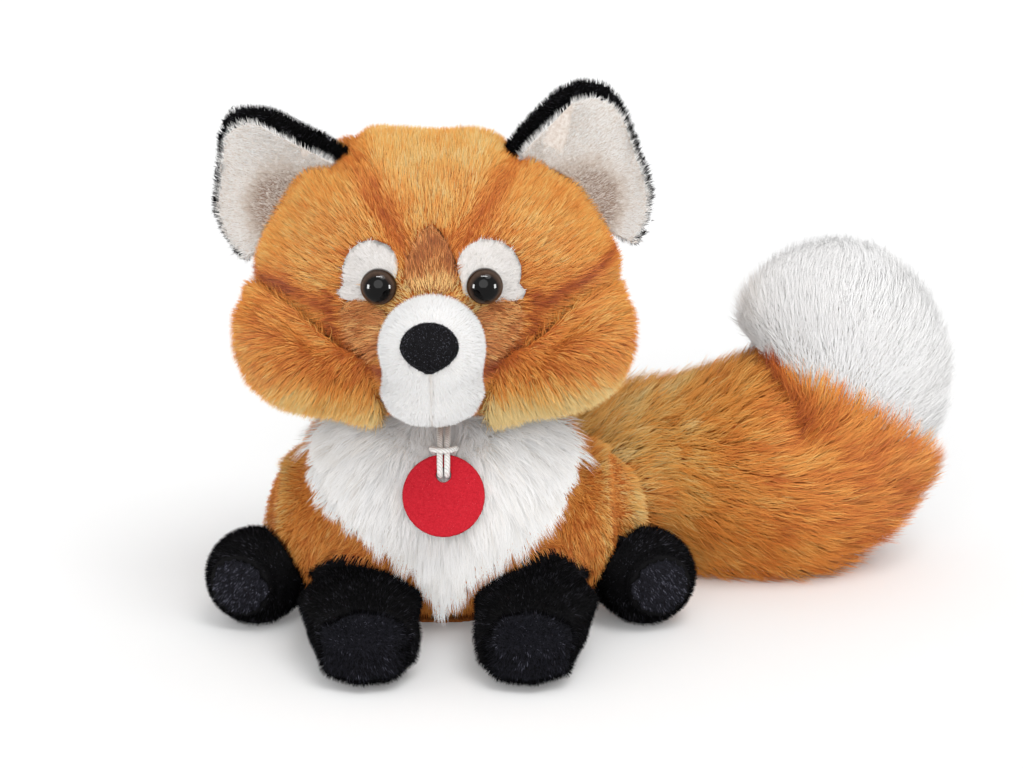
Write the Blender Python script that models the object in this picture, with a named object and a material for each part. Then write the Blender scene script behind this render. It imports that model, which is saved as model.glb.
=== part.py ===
"""A seated plush fox with a big curled tail, as the sewn and stuffed pieces that it is made of.

Metres, +Z up. The fox faces -Y, so its own left is +X. The origin is the middle of the seat panel's flat
underside. Each soft form is a blend of swells, which are ellipsoids seen from one inner point, its heart.
"""

import math

import bmesh
import bpy
from mathutils import Matrix, Vector

# Gaps and allowances that the pieces share
SEAM_GAP = 0.0003
CARVE_GAP = 0.0006
SOCKET_GAP = 0.0004
OVERRUN = 0.004
FLOOR_SINK = 0.0005
BLEND_POWER = 11
RING_SHARE = 0.6
SIDES = {"left": 1, "right": -1}

# How many faces go round each kind of form, and how finely a ball for a limb's root is divided
LARGE_SEGMENTS = 32
LIMB_SEGMENTS = 20
SMALL_SEGMENTS = 16
PLATE_SEGMENTS = 24
TAG_SEGMENTS = 40
BALL_SUBDIVISIONS = 3
LIFT_SHARES = (0, -0.5, -1)
TURN_SHARES = (-1, 0, 1)
SWING_SHARES = (0, 0.5, 1)
FOLD_SHARES = (-1, -0.5, 0, 0.5, 1)
SLOPE_STEP_DEG = 1.0
SHARP_EDGE_DEG = 40.0

# Torso: seat, belly and chest swells, cut flat at the neck seam
TORSO_X = 0.0005
SEAT_RADII = (0.057, 0.045, 0.024)
BELLY_RADII = (0.058, 0.046, 0.036)
BELLY_HEIGHT = 0.038
CHEST_RADII = (0.050, 0.040, 0.031)
CHEST_HEIGHT = 0.060
CHEST_FORWARD = 0.008
NECK_HEIGHT = 0.082
TORSO_HEART_HEIGHT = 0.042

# Seat panel and the pellet bag above it, in a pocket of the torso
PANEL_RADIUS = 0.029
PANEL_THICKNESS = 0.0015
PELLET_BAG_RADIUS = 0.0240
PELLET_BAG_HEIGHT = 0.020
PELLET_BAG_CORNER_SHARE = 0.3

# Chest bib, laid on the torso's front
BIB_THICKNESS = 0.008
BIB_EDGE_THICKNESS = 0.002
BIB_DEPTH = 0.0015
BIB_MIDDLE_DEG = (0.0, 16.0)
BIB_REACH_DEG = ((0, 62), (28, 57), (52, 20), (90, 15.5), (128, 20), (152, 57), (180, 62), (205, 40),
                 (225, 30), (250, 33), (270, 46), (290, 33), (315, 30), (335, 40))
BIB_SEGMENTS = 28
BIB_ROWS = 4
BIB_EDGE_POWER = 3

# Haunches
HIP_X = 0.004
HAUNCH_SPREAD = 0.0435
HAUNCH_RADII = (0.0282, 0.030, 0.032)
HAUNCH_BACK = -0.004

# Front legs with the oval sole at the paw's front
PAW_X = 0.003
SHOULDER_SPREAD = 0.0310
SHOULDER_FORWARD = 0.030
SHOULDER_HEIGHT = 0.0162
SHOULDER_BALL = 0.0150
LEG_RADII = (0.0182, 0.034, 0.0145)
LEG_FORWARD = 0.058
LEG_SPREAD = 0.0305
PAW_RADII = (0.0168, 0.0155, 0.0122)
PAW_FORWARD = 0.0830
PAW_SPREAD = 0.0285
FRONT_SOLE_DEPTH = 0.006
FRONT_SOLE_TILT_DEG = 12.0
LEG_LIFT_DEG = 14.0

# Hind feet with their round soles
FOOT_X = 0.0033
ANKLE_SPREAD = 0.0585
ANKLE_FORWARD = 0.016
ANKLE_HEIGHT = 0.0170
ANKLE_BALL = 0.0130
FOOT_RADII = (0.0195, 0.0180, 0.0185)
FOOT_SPREAD = 0.0705
FOOT_FORWARD = 0.026
FOOT_TOE_OUT_DEG = 20.0
HIND_SOLE_DEPTH = 0.0045
FOOT_TURN_DEG = 10.0

# Head
HEAD_X = -0.0018
HEAD_FORWARD = 0.020
SKULL_RADII = (0.0625, 0.0530, 0.0450)
SKULL_HEIGHT = 0.051
JAW_RADII = (0.046, 0.046, 0.0270)
JAW_HEIGHT = 0.025
JAW_FORWARD = 0.006
CROWN_RADII = (0.0345, 0.041, 0.0370)
CROWN_SPREAD = 0.0185
CROWN_HEIGHT = 0.0600
CROWN_BACK = 0.003
HEAD_HEART_HEIGHT = 0.044
CHEEK_RADII = (0.0330, 0.0350, 0.0200)
CHEEK_SPREAD = 0.0370
CHEEK_FORWARD = 0.015
CHEEK_HEIGHT = 0.0225

# Muzzle, chin and nose, on the head's front
MUZZLE_RADII = (0.0178, 0.0200, 0.0178)
MUZZLE_FORWARD = 0.058
MUZZLE_HEIGHT = 0.0360
CHIN_RADII = (0.0168, 0.0190, 0.0130)
CHIN_FORWARD = 0.052
CHIN_HEIGHT = 0.0225
NOSE_RADII = (0.0100, 0.0065, 0.0088)
NOSE_RISE_DEG = 22.0

# Flat face patches, as angles seen from the head's heart
PATCH_THICKNESS = 0.0010
EYE_DEG = (19.8, 12.6)
EYE_PATCH_REACH_DEG = ((0, 9.0), (35, 12.5), (70, 16.0), (100, 16.0), (130, 13.0), (165, 8.6),
                       (195, 8.0), (235, 5.2), (270, 5.0), (310, 7.6), (335, 12.0), (350, 11.0))
BLAZE_MIDDLE_DEG = (0.0, 19.0)
BLAZE_REACH_DEG = ((0, 9.5), (45, 10.0), (68, 12.5), (90, 15.5), (112, 12.5), (135, 10.0), (180, 9.5),
                   (225, 10.0), (270, 6.8), (315, 10.0))
TEAR_MIDDLE_DEG = (26.5, -3.5)
TEAR_REACH_DEG = ((0, 8.0), (50, 10.0), (100, 9.0), (150, 8.0), (200, 5.2), (240, 8.5), (260, 11.5),
                  (290, 9.5), (330, 8.5))
PATCH_ROWS = 2

# Safety eyes: dome, stem and the washer that locks it inside the head
EYE_RADIUS = 0.0063
EYE_DOME = 0.0048
EYE_RIM = 0.0012
EYE_SEAT_GAP = 0.0006
STEM_RADIUS = 0.0016
STEM_LENGTH = 0.0115
WASHER_RADIUS = 0.0062
WASHER_THICKNESS = 0.0016
WASHER_DEPTH = 0.0042
DOME_STEPS = 6

# Ears: a black back and a pale lining inside it
EAR_HALF_WIDTH = 0.0280
EAR_TALL = {"left": 0.0345, "right": 0.0335}
EAR_CUP = 0.0085
EAR_BACK_THICKNESS = 0.0042
EAR_LINING_THICKNESS = 0.0024
EAR_LAYER_GAP = 0.0004
EAR_LINING_SHARE = 0.90
EAR_LINING_SHIFT = 0.0008
EAR_ROUND_SHARE = 0.86
EAR_ROUND_POWER = 3.2
EAR_TAPER_SHARE = 0.12
EAR_SHOULDER_SHARE = 0.30
EAR_UNCUP_SHARE = 0.25
EAR_SIDE_POWER = 6
EAR_TIP_POWER = 8
EAR_SLANT_DEG = {"left": 52.0, "right": 41.0}
EAR_ROOT_DEG = {"left": 31.0, "right": 28.0}
EAR_BACK = -0.008
EAR_SINK = 0.0075
EAR_LEAN_SHARE = {"left": 0.62, "right": 0.42}
EAR_LEAN_BACK_DEG = 6.0
EAR_YAW_DEG = 20.0
EAR_FOLD_DEG = 15.0
EAR_COLUMNS = 12
EAR_ROWS = 7
EAR_TRIM_STEPS = 14

# Tail and its white tip
TAIL_ROOT = (0.026, 0.043, 0.030)
TAIL_ROOT_BALL = 0.0190
# Rings from the root to the tip: upper end as x and z, lower end as x and z, middle's y, half the depth
TAIL_RINGS = ((0.027, 0.051, 0.025, 0.009, 0.0430, 0.0200),
              (0.044, 0.060, 0.044, 0.003, 0.0460, 0.0260),
              (0.064, 0.0685, 0.067, -0.0005, 0.0455, 0.0295),
              (0.084, 0.075, 0.092, -0.0008, 0.0410, 0.0330),
              (0.099, 0.079, 0.117, -0.0008, 0.0370, 0.0350),
              (0.1075, 0.0815, 0.142, 0.0015, 0.0360, 0.0360),
              (0.1115, 0.084, 0.163, 0.0095, 0.0390, 0.0360),
              (0.1130, 0.088, 0.177, 0.0240, 0.0420, 0.0355),
              (0.1135, 0.093, 0.1855, 0.0440, 0.0450, 0.0355),
              (0.1145, 0.100, 0.1885, 0.0670, 0.0465, 0.0350),
              (0.1185, 0.1085, 0.1870, 0.0890, 0.0470, 0.0330),
              (0.1270, 0.1165, 0.1800, 0.1055, 0.0475, 0.0280),
              (0.1395, 0.1215, 0.1680, 0.1170, 0.0480, 0.0170))
TAIL_START = (0.020, 0.042, 0.029)
TAIL_END = (0.1545, 0.0480, 0.1215)
TAIL_STEPS = 2
TAIL_SEGMENTS = 28
TIP_DIRECTION = (0.37, 0.37, 0.85)
TIP_SEAM_POINT = (0.150, 0.044, 0.059)
TAIL_SWING_DEG = 22.0

# Round tag, its hole and its cord
TAG_RADIUS = 0.0145
TAG_THICKNESS = 0.0024
TAG_HOLE_RADIUS = 0.0027
TAG_HOLE_DROP = 0.0073
TAG_MIDDLE = (0.0016, -0.0610, 0.0593)
TAG_LEAN_DEG = 17.0
CORD_RADIUS = 0.00105
CORD_SOCKET_RADIUS = 0.0038
# Half of the cord's route, from the neck seam to the front of the hitch, as (across, out, up) from the
# tag's middle. The other half is its mirror image.
CORD_ROUTE = ((-0.0013, -0.0140, 0.0252), (-0.0013, -0.0118, 0.0249), (-0.0013, -0.0090, 0.0243),
              (-0.0013, -0.0062, 0.0233), (-0.0013, -0.0035, 0.0218), (-0.0013, -0.0010, 0.0200),
              (-0.0013, 0.0010, 0.0180), (-0.0013, 0.0023, 0.0158), (-0.0013, 0.0027, 0.0135),
              (-0.0013, 0.0027, 0.0112), (-0.00125, 0.0022, 0.0090), (-0.00125, 0.0010, 0.0074),
              (-0.00125, -0.0008, 0.0071), (-0.0013, -0.0023, 0.0082), (-0.0014, -0.0028, 0.0104),
              (-0.0020, -0.0028, 0.0126), (-0.0030, -0.0024, 0.0146), (-0.0038, -0.0010, 0.0160),
              (-0.0042, 0.0010, 0.0166), (-0.0038, 0.0031, 0.0165), (-0.0026, 0.0045, 0.0161),
              (-0.0012, 0.0050, 0.0159), (0.0, 0.0051, 0.0159))


def clear_scene():
    for obj in list(bpy.data.objects):
        bpy.data.objects.remove(obj, do_unlink=True)


def material(name, colour, roughness):
    made = bpy.data.materials.new(name)
    made.use_nodes = True
    shader = made.node_tree.nodes["Principled BSDF"]
    shader.inputs["Base Color"].default_value = (*colour, 1.0)
    shader.inputs["Roughness"].default_value = roughness
    shader.inputs["Metallic"].default_value = 0.0
    return made


def add_object(name, mesh, finish=None, parent=None):
    obj = bpy.data.objects.new(name, mesh)
    bpy.context.scene.collection.objects.link(obj)
    if finish:
        mesh.materials.append(finish)
    if parent:
        obj.parent = parent
        obj.matrix_parent_inverse = Matrix.Translation(parent.location).inverted()
    return obj


def add_empty(name, place, parent=None):
    """The empty on a joint's axis. The pieces that the joint moves are its children."""
    obj = add_object(name, None, parent=parent)
    obj.location = place
    return obj


def mesh_from(name, bm):
    mesh = bpy.data.meshes.new(name)
    bmesh.ops.recalc_face_normals(bm, faces=bm.faces)
    bm.to_mesh(mesh)
    bm.free()
    mesh.shade_smooth()
    mesh.set_sharp_from_angle(angle=math.radians(SHARP_EDGE_DEG))
    return mesh


def add_cutter(name, mesh):
    obj = add_object(name, mesh)
    obj.hide_render = True
    obj.display_type = "WIRE"
    return obj


def boolean(target, cutter, operation="DIFFERENCE"):
    modifier = target.modifiers.new(cutter.name, "BOOLEAN")
    modifier.operation = operation
    modifier.solver = "EXACT"
    modifier.object = cutter


class Form:
    """A closed soft shape: its swells' outer surface as seen from its heart, with the creases eased."""

    def __init__(self, heart, swells, low=None, high=None):
        self.heart = Vector(heart)
        self.swells = [(Vector(middle), Vector(radii)) for middle, radii in swells]
        self.low = low
        self.high = high

    def point(self, direction, grow=0, flat=True):
        """The surface in this direction from the heart. flat cuts it off at the lowest and highest level."""
        total = 0
        for middle, radii in self.swells:
            total += reach(self.heart - middle, direction, radii, grow) ** BLEND_POWER
        at = self.heart + direction * total ** (1 / BLEND_POWER)
        if flat and self.low is not None:
            at.z = max(at.z, self.low)
        if flat and self.high is not None:
            at.z = min(at.z, self.high)
        return at

    def seen_at(self, turn_deg, rise_deg):
        """The surface at these angles: turn is towards +X from straight ahead, rise is upwards."""
        return self.point(look(turn_deg, rise_deg))

    def normal_at(self, turn_deg, rise_deg):
        step = SLOPE_STEP_DEG
        across = self.seen_at(turn_deg + step, rise_deg) - self.seen_at(turn_deg - step, rise_deg)
        upward = self.seen_at(turn_deg, rise_deg + step) - self.seen_at(turn_deg, rise_deg - step)
        return across.cross(upward).normalized()

    def holds(self, at, grow):
        """Whether the point lies inside the form grown by this much."""
        ray = at - self.heart
        return ray.length < (self.point(ray.normalized(), grow) - self.heart).length

    def mesh(self, name, segments, grow=0):
        """The form as a mesh. One that is grown is a cutter, so it isn't cut flat."""
        bm = bmesh.new()
        bmesh.ops.create_uvsphere(bm, u_segments=segments, v_segments=round(segments * RING_SHARE), radius=1)
        for vert in bm.verts:
            vert.co = self.point(vert.co.normalized(), grow, flat=grow == 0)
        bmesh.ops.triangulate(bm, faces=bm.faces, quad_method="FIXED")
        return mesh_from(name, bm)


def look(turn_deg, rise_deg):
    turn, rise = math.radians(turn_deg), math.radians(rise_deg)
    return Vector((math.sin(turn) * math.cos(rise), -math.cos(turn) * math.cos(rise), math.sin(rise)))


def reach(start, direction, radii, grow):
    """How far a ray goes before it leaves an ellipsoid, from a start measured from the ellipsoid's middle."""
    a = sum((d / (r + grow)) ** 2 for d, r in zip(direction, radii))
    b = sum(s * d / (r + grow) ** 2 for s, d, r in zip(start, direction, radii))
    c = sum((s / (r + grow)) ** 2 for s, r in zip(start, radii)) - 1
    inside = b * b - a * c
    return max((-b + math.sqrt(inside)) / a, 0) if inside > 0 else 0


def cubic(p0, p1, p2, p3, t):
    """Between p1 at 0 and p2 at 1, on a curve that goes through all four."""
    return 0.5 * (2 * p1 + (p2 - p0) * t + (2 * p0 - 5 * p1 + 4 * p2 - p3) * t * t
                  + (3 * p1 - p0 - 3 * p2 + p3) * t ** 3)


def smooth_ring(pairs, angle_deg):
    """A closed curve through (angle, value) pairs, read at an angle."""
    angle_deg %= 360
    count = len(pairs)
    after = next((i for i, (at, _) in enumerate(pairs) if at > angle_deg), 0)
    spots = [pairs[(after + offset) % count] for offset in (-2, -1, 0, 1)]
    start, end = spots[1][0], spots[2][0]
    span = (end - start) % 360 or 360
    return cubic(*(value for _, value in spots), (angle_deg - start) % 360 / span)


def smoothed(rows, steps):
    """The rows, with this many steps from each to the next on a cubic through them."""
    made = []
    for i in range(len(rows) - 1):
        near = rows[max(i - 1, 0)], rows[i], rows[i + 1], rows[min(i + 2, len(rows) - 1)]
        made += [[cubic(*values, step / steps) for values in zip(*near)] for step in range(steps)]
    return made + [rows[-1]]


def round_the_circle(count):
    return [2 * math.pi * i / count for i in range(count)]


def join_rings(bm, rings, segments):
    """Faces between each ring and the next. A ring of one vertex is a pole."""
    for lower, upper in zip(rings, rings[1:]):
        for i in range(segments):
            corners = [lower[i % len(lower)], lower[(i + 1) % len(lower)],
                       upper[(i + 1) % len(upper)], upper[i % len(upper)]]
            bm.faces.new(list(dict.fromkeys(corners)))


def turned_mesh(name, profile, frame, segments):
    """A closed body of revolution: profile is (radius, height) pairs from end to end along frame's Z."""
    bm = bmesh.new()
    rings = []
    for radius, height in profile:
        turns = round_the_circle(segments) if radius else [0]
        rings.append([bm.verts.new(frame @ Vector((radius * math.cos(turn), radius * math.sin(turn), height)))
                      for turn in turns])
    join_rings(bm, rings, segments)
    for ring in (rings[0], rings[-1]):
        if len(ring) > 1:
            bm.faces.new(ring)
    return mesh_from(name, bm)


def washer_mesh(name, profile, frame, segments):
    """A body of revolution with a hole: profile is a closed loop of (radius, height) pairs."""
    bm = bmesh.new()
    rings = [[bm.verts.new(frame @ Vector((radius * math.cos(turn), radius * math.sin(turn), height)))
              for radius, height in profile] for turn in round_the_circle(segments)]
    join_rings(bm, rings + rings[:1], len(profile))
    return mesh_from(name, bm)


def facing(place, direction):
    """A frame at place whose Z points along direction."""
    z = Vector(direction).normalized()
    x = Vector((0, 0, 1)).cross(z).normalized()
    frame = Matrix((x, z.cross(x), z)).transposed().to_4x4()
    frame.translation = place
    return frame


def plate_mesh(name, form, middle_deg, reach_deg, heights, segments, rows, side=1, hole_deg=0):
    """A plate on a form, as seen from the form's heart. reach_deg is its outline, as (direction, angle) pairs
    round middle_deg. heights gives its lower and upper level at a share of the way to the outline."""
    bm = bmesh.new()
    shells = []
    for face in (0, 1):
        rings = []
        for share in (row / rows for row in range(rows + 1)):
            one_vertex = share == 0 and hole_deg == 0
            ring = []
            for direction in range(1 if one_vertex else segments):
                angle = 360 * direction / segments
                out = hole_deg + (smooth_ring(reach_deg, angle) - hole_deg) * share
                turn = middle_deg[0] + out * math.cos(math.radians(angle))
                rise = middle_deg[1] + out * math.sin(math.radians(angle))
                ring.append(bm.verts.new(form.point(look(side * turn, rise), heights(share)[face])))
            rings.append(ring)
        join_rings(bm, rings, segments)
        shells.append(rings)
    for border in (0, -1) if hole_deg else (-1,):
        join_rings(bm, [shell[border] for shell in shells], segments)
    return mesh_from(name, bm)


def split_at(mesh, place, normal, keep_above):
    """Cuts a mesh at a plane, keeps one side and closes the cut."""
    bm = bmesh.new()
    bm.from_mesh(mesh)
    bmesh.ops.bisect_plane(bm, geom=bm.verts[:] + bm.edges[:] + bm.faces[:], plane_co=place, plane_no=normal,
                           clear_inner=keep_above, clear_outer=not keep_above)
    bmesh.ops.holes_fill(bm, edges=[edge for edge in bm.edges if edge.is_boundary])
    return mesh_from(mesh.name, bm)


def place_on(middle_x, spread, side, forward, height):
    """A place at this spread from the middle, on the given side."""
    return Vector((middle_x + SIDES[side] * spread, -forward, height))


def cut_by(target, form, name):
    """Fits a sewn-on piece to the form that it lies against."""
    boolean(target, add_cutter(name, form.mesh(name, LARGE_SEGMENTS, SEAM_GAP)))


def carve(target, form, pivot, axis, angles_deg, name):
    """Clears a moving piece from the form that carries it, at each of these turns about the pivot."""
    for number, angle in enumerate(angles_deg):
        cutter_name = f"{name}_{number}"
        body = add_cutter(cutter_name, form.mesh(cutter_name, LARGE_SEGMENTS, CARVE_GAP))
        turn = Matrix.Rotation(math.radians(-angle), 4, Vector(axis))
        body.matrix_world = Matrix.Translation(pivot) @ turn @ Matrix.Translation(-Vector(pivot))
        boolean(target, body)


def ball_mesh(name, place, radius):
    bm = bmesh.new()
    spot = Matrix.Translation(place)
    bmesh.ops.create_icosphere(bm, subdivisions=BALL_SUBDIVISIONS, radius=radius, matrix=spot)
    return mesh_from(name, bm)


def add_ball(target, place, radius, name):
    """The round root on which a limb turns in its socket."""
    boolean(target, add_cutter(name, ball_mesh(name, place, radius)), "UNION")


def socket(target, place, radius, name):
    boolean(target, add_cutter(name, ball_mesh(name, place, radius + SOCKET_GAP)))


TORSO = Form(
    (TORSO_X, 0, TORSO_HEART_HEIGHT),
    (((TORSO_X, 0, SEAT_RADII[2] - FLOOR_SINK), SEAT_RADII),
     ((TORSO_X, 0, BELLY_HEIGHT), BELLY_RADII),
     ((TORSO_X, -CHEST_FORWARD, CHEST_HEIGHT), CHEST_RADII)),
    low=0, high=NECK_HEIGHT)

def head_form():
    swells = [((HEAD_X, -HEAD_FORWARD, NECK_HEIGHT + SKULL_HEIGHT), SKULL_RADII),
              ((HEAD_X, -HEAD_FORWARD - JAW_FORWARD, NECK_HEIGHT + JAW_HEIGHT), JAW_RADII)]
    forward, height = HEAD_FORWARD - CROWN_BACK, NECK_HEIGHT + CROWN_HEIGHT
    swells += [(place_on(HEAD_X, CROWN_SPREAD, side, forward, height), CROWN_RADII) for side in SIDES]
    heart = (HEAD_X, -HEAD_FORWARD, NECK_HEIGHT + HEAD_HEART_HEIGHT)
    return Form(heart, swells, low=NECK_HEIGHT + SEAM_GAP)


def haunch_form(side):
    middle = place_on(HIP_X, HAUNCH_SPREAD, side, -HAUNCH_BACK, HAUNCH_RADII[2] - FLOOR_SINK)
    return Form(middle, ((middle, HAUNCH_RADII),), low=0)


HEAD = head_form()
HAUNCHES = {side: haunch_form(side) for side in SIDES}


def build_torso(orange, base_cloth, pellets):
    torso = add_object("torso", TORSO.mesh("torso", LARGE_SEGMENTS), orange)
    ground = Matrix.Identity(4)
    corner = PELLET_BAG_HEIGHT * PELLET_BAG_CORNER_SHARE
    low = PANEL_THICKNESS + SEAM_GAP
    high = low + PELLET_BAG_HEIGHT
    wide, narrow = PANEL_RADIUS + SEAM_GAP, PELLET_BAG_RADIUS + SEAM_GAP
    pocket = ((wide, -OVERRUN), (wide, low), (narrow, low), (narrow, high + SEAM_GAP))
    boolean(torso, add_cutter("seat_pocket", turned_mesh("seat_pocket", pocket, ground, LARGE_SEGMENTS)))
    panel = ((PANEL_RADIUS, 0), (PANEL_RADIUS, PANEL_THICKNESS))
    add_object("seat_panel", turned_mesh("seat_panel", panel, ground, LARGE_SEGMENTS), base_cloth)
    bag = ((PELLET_BAG_RADIUS - corner, low), (PELLET_BAG_RADIUS, low + corner),
           (PELLET_BAG_RADIUS, high - corner), (PELLET_BAG_RADIUS - corner, high))
    add_object("pellet_bag", turned_mesh("pellet_bag", bag, ground, LARGE_SEGMENTS), pellets)
    return torso


def build_bib(white):
    def heights(share):
        rise = (BIB_THICKNESS - BIB_EDGE_THICKNESS) * (1 - share ** BIB_EDGE_POWER)
        return -BIB_DEPTH, BIB_EDGE_THICKNESS + rise

    mesh = plate_mesh("chest_bib", TORSO, BIB_MIDDLE_DEG, BIB_REACH_DEG, heights, BIB_SEGMENTS, BIB_ROWS)
    bib = add_object("chest_bib", mesh, white)
    cut_by(bib, TORSO, "torso_for_bib")
    return bib


def build_haunch(side, orange):
    haunch = add_object("haunch_" + side, HAUNCHES[side].mesh("haunch_" + side, LIMB_SEGMENTS), orange)
    cut_by(haunch, TORSO, "torso_for_haunch_" + side)
    return haunch


def build_front_leg(side, torso, haunch, black, sole_black):
    root = place_on(PAW_X, SHOULDER_SPREAD, side, SHOULDER_FORWARD, SHOULDER_HEIGHT)
    pivot = add_empty("front_leg_pivot_" + side, root)
    middle = place_on(PAW_X, LEG_SPREAD, side, LEG_FORWARD, LEG_RADII[2])
    paw = place_on(PAW_X, PAW_SPREAD, side, PAW_FORWARD, PAW_RADII[2] - FLOOR_SINK)
    form = Form(middle, ((root, (SHOULDER_BALL,) * 3), (middle, LEG_RADII), (paw, PAW_RADII)), low=0)
    front = look(0, FRONT_SOLE_TILT_DEG)
    seam = paw + Vector((0, FRONT_SOLE_DEPTH - PAW_RADII[1], 0))
    mesh = split_at(form.mesh("front_leg_" + side, LIMB_SEGMENTS), seam, front, keep_above=False)
    mesh = split_at(mesh, root, root - middle, keep_above=False)
    leg = add_object("front_leg_" + side, mesh, black, pivot)
    for name, body in (("torso", TORSO), ("haunch", HAUNCHES[side])):
        angles = [share * LEG_LIFT_DEG for share in LIFT_SHARES]
        carve(leg, body, root, (1, 0, 0), angles, f"{name}_for_front_leg_{side}")
    add_ball(leg, root, SHOULDER_BALL, "front_leg_ball_" + side)
    whole = form.mesh("front_sole_" + side, LIMB_SEGMENTS)
    sole = split_at(whole, seam + front * SEAM_GAP, front, keep_above=True)
    add_object("front_sole_" + side, sole, sole_black, pivot)
    for body in (torso, haunch):
        socket(body, root, SHOULDER_BALL, f"front_leg_socket_{side}_{body.name}")


def build_hind_foot(side, torso, haunch, black, sole_black):
    root = place_on(FOOT_X, ANKLE_SPREAD, side, ANKLE_FORWARD, ANKLE_HEIGHT)
    pivot = add_empty("hind_foot_pivot_" + side, root)
    middle = place_on(FOOT_X, FOOT_SPREAD, side, FOOT_FORWARD, FOOT_RADII[2] - FLOOR_SINK)
    form = Form(middle, ((root, (ANKLE_BALL,) * 3), (middle, FOOT_RADII)), low=0)
    front = look(SIDES[side] * FOOT_TOE_OUT_DEG, 0)
    seam = form.point(front) - front * HIND_SOLE_DEPTH
    mesh = split_at(form.mesh("hind_foot_" + side, LIMB_SEGMENTS), seam, front, keep_above=False)
    mesh = split_at(mesh, root, root - middle, keep_above=False)
    foot = add_object("hind_foot_" + side, mesh, black, pivot)
    for name, body in (("torso", TORSO), ("haunch", HAUNCHES[side])):
        angles = [share * FOOT_TURN_DEG for share in TURN_SHARES]
        carve(foot, body, root, (0, 0, 1), angles, f"{name}_for_hind_foot_{side}")
    add_ball(foot, root, ANKLE_BALL, "hind_foot_ball_" + side)
    whole = form.mesh("hind_sole_" + side, LIMB_SEGMENTS)
    sole = split_at(whole, seam + front * SEAM_GAP, front, keep_above=True)
    add_object("hind_sole_" + side, sole, sole_black, pivot)
    for body in (torso, haunch):
        socket(body, root, ANKLE_BALL, f"hind_foot_socket_{side}_{body.name}")


def whole_tail(name):
    bm = bmesh.new()
    rings = [[bm.verts.new(TAIL_START)]]
    for top_x, top_z, low_x, low_z, deep, half_depth in smoothed(TAIL_RINGS, TAIL_STEPS):
        middle = Vector((top_x + low_x, 2 * deep, top_z + low_z)) / 2
        up = Vector((top_x - low_x, 0, top_z - low_z)) / 2
        ring = []
        for turn in round_the_circle(TAIL_SEGMENTS):
            at = middle + up * math.cos(turn) + Vector((0, half_depth * math.sin(turn), 0))
            at.z = max(at.z, 0)
            ring.append(bm.verts.new(at))
        rings.append(ring)
    rings.append([bm.verts.new(TAIL_END)])
    join_rings(bm, rings, TAIL_SEGMENTS)
    bmesh.ops.triangulate(bm, faces=bm.faces, quad_method="FIXED")
    return mesh_from(name, bm)


def build_tail(torso, haunch, orange, white):
    root = Vector(TAIL_ROOT)
    pivot = add_empty("tail_pivot", root)
    seam, tip_way = Vector(TIP_SEAM_POINT), Vector(TIP_DIRECTION).normalized()
    mesh = split_at(whole_tail("tail"), seam, tip_way, keep_above=False)
    tail = add_object("tail", split_at(mesh, root, (1, 0, 0), keep_above=True), orange, pivot)
    for name, body in (("torso", TORSO), ("haunch", HAUNCHES["left"])):
        angles = [share * TAIL_SWING_DEG for share in SWING_SHARES]
        carve(tail, body, root, (0, 0, 1), angles, name + "_for_tail")
    add_ball(tail, root, TAIL_ROOT_BALL, "tail_root_ball")
    tip = split_at(whole_tail("tail_tip"), seam + tip_way * SEAM_GAP, tip_way, keep_above=True)
    add_object("tail_tip", tip, white, pivot)
    for body in (torso, haunch):
        socket(body, root, TAIL_ROOT_BALL, "tail_socket_" + body.name)


def build_cheek(side, pivot, orange):
    forward, height = HEAD_FORWARD + CHEEK_FORWARD, NECK_HEIGHT + CHEEK_HEIGHT
    middle = place_on(HEAD_X, CHEEK_SPREAD, side, forward, height)
    form = Form(middle, ((middle, CHEEK_RADII),), low=NECK_HEIGHT + SEAM_GAP)
    cheek = add_object("cheek_" + side, form.mesh("cheek_" + side, LIMB_SEGMENTS), orange, pivot)
    cut_by(cheek, HEAD, "head_for_cheek_" + side)


def build_muzzle(pivot, white, nose_black):
    front = Vector((HEAD_X, -HEAD_FORWARD, NECK_HEIGHT))
    ball = front + Vector((0, -MUZZLE_FORWARD, MUZZLE_HEIGHT))
    chin = front + Vector((0, -CHIN_FORWARD, CHIN_HEIGHT))
    form = Form(ball, ((ball, MUZZLE_RADII), (chin, CHIN_RADII)))
    muzzle = add_object("muzzle", form.mesh("muzzle", LIMB_SEGMENTS), white, pivot)
    cut_by(muzzle, HEAD, "head_for_muzzle")
    nose_at = form.seen_at(0, NOSE_RISE_DEG)
    nose_form = Form(nose_at, ((nose_at, NOSE_RADII),))
    nose = add_object("nose", nose_form.mesh("nose", SMALL_SEGMENTS), nose_black, pivot)
    boolean(nose, add_cutter("muzzle_for_nose", form.mesh("muzzle_for_nose", LIMB_SEGMENTS, SEAM_GAP)))


def build_face_patches(pivot, pale, dark):
    def heights(_):
        return SEAM_GAP, SEAM_GAP + PATCH_THICKNESS

    def add_patch(name, middle_deg, reach_deg, finish, side=1, hole_deg=0):
        shape = (HEAD, middle_deg, reach_deg, heights, PLATE_SEGMENTS, PATCH_ROWS, side, hole_deg)
        add_object(name, plate_mesh(name, *shape), finish, pivot)

    stem_hole_deg = math.degrees((STEM_RADIUS + SEAM_GAP) / SKULL_RADII[1])
    for side, sign in SIDES.items():
        add_patch("eye_patch_" + side, EYE_DEG, EYE_PATCH_REACH_DEG, pale, sign, stem_hole_deg)
        add_patch("tear_patch_" + side, TEAR_MIDDLE_DEG, TEAR_REACH_DEG, dark, sign)
    add_patch("blaze_patch", BLAZE_MIDDLE_DEG, BLAZE_REACH_DEG, dark)


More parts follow.
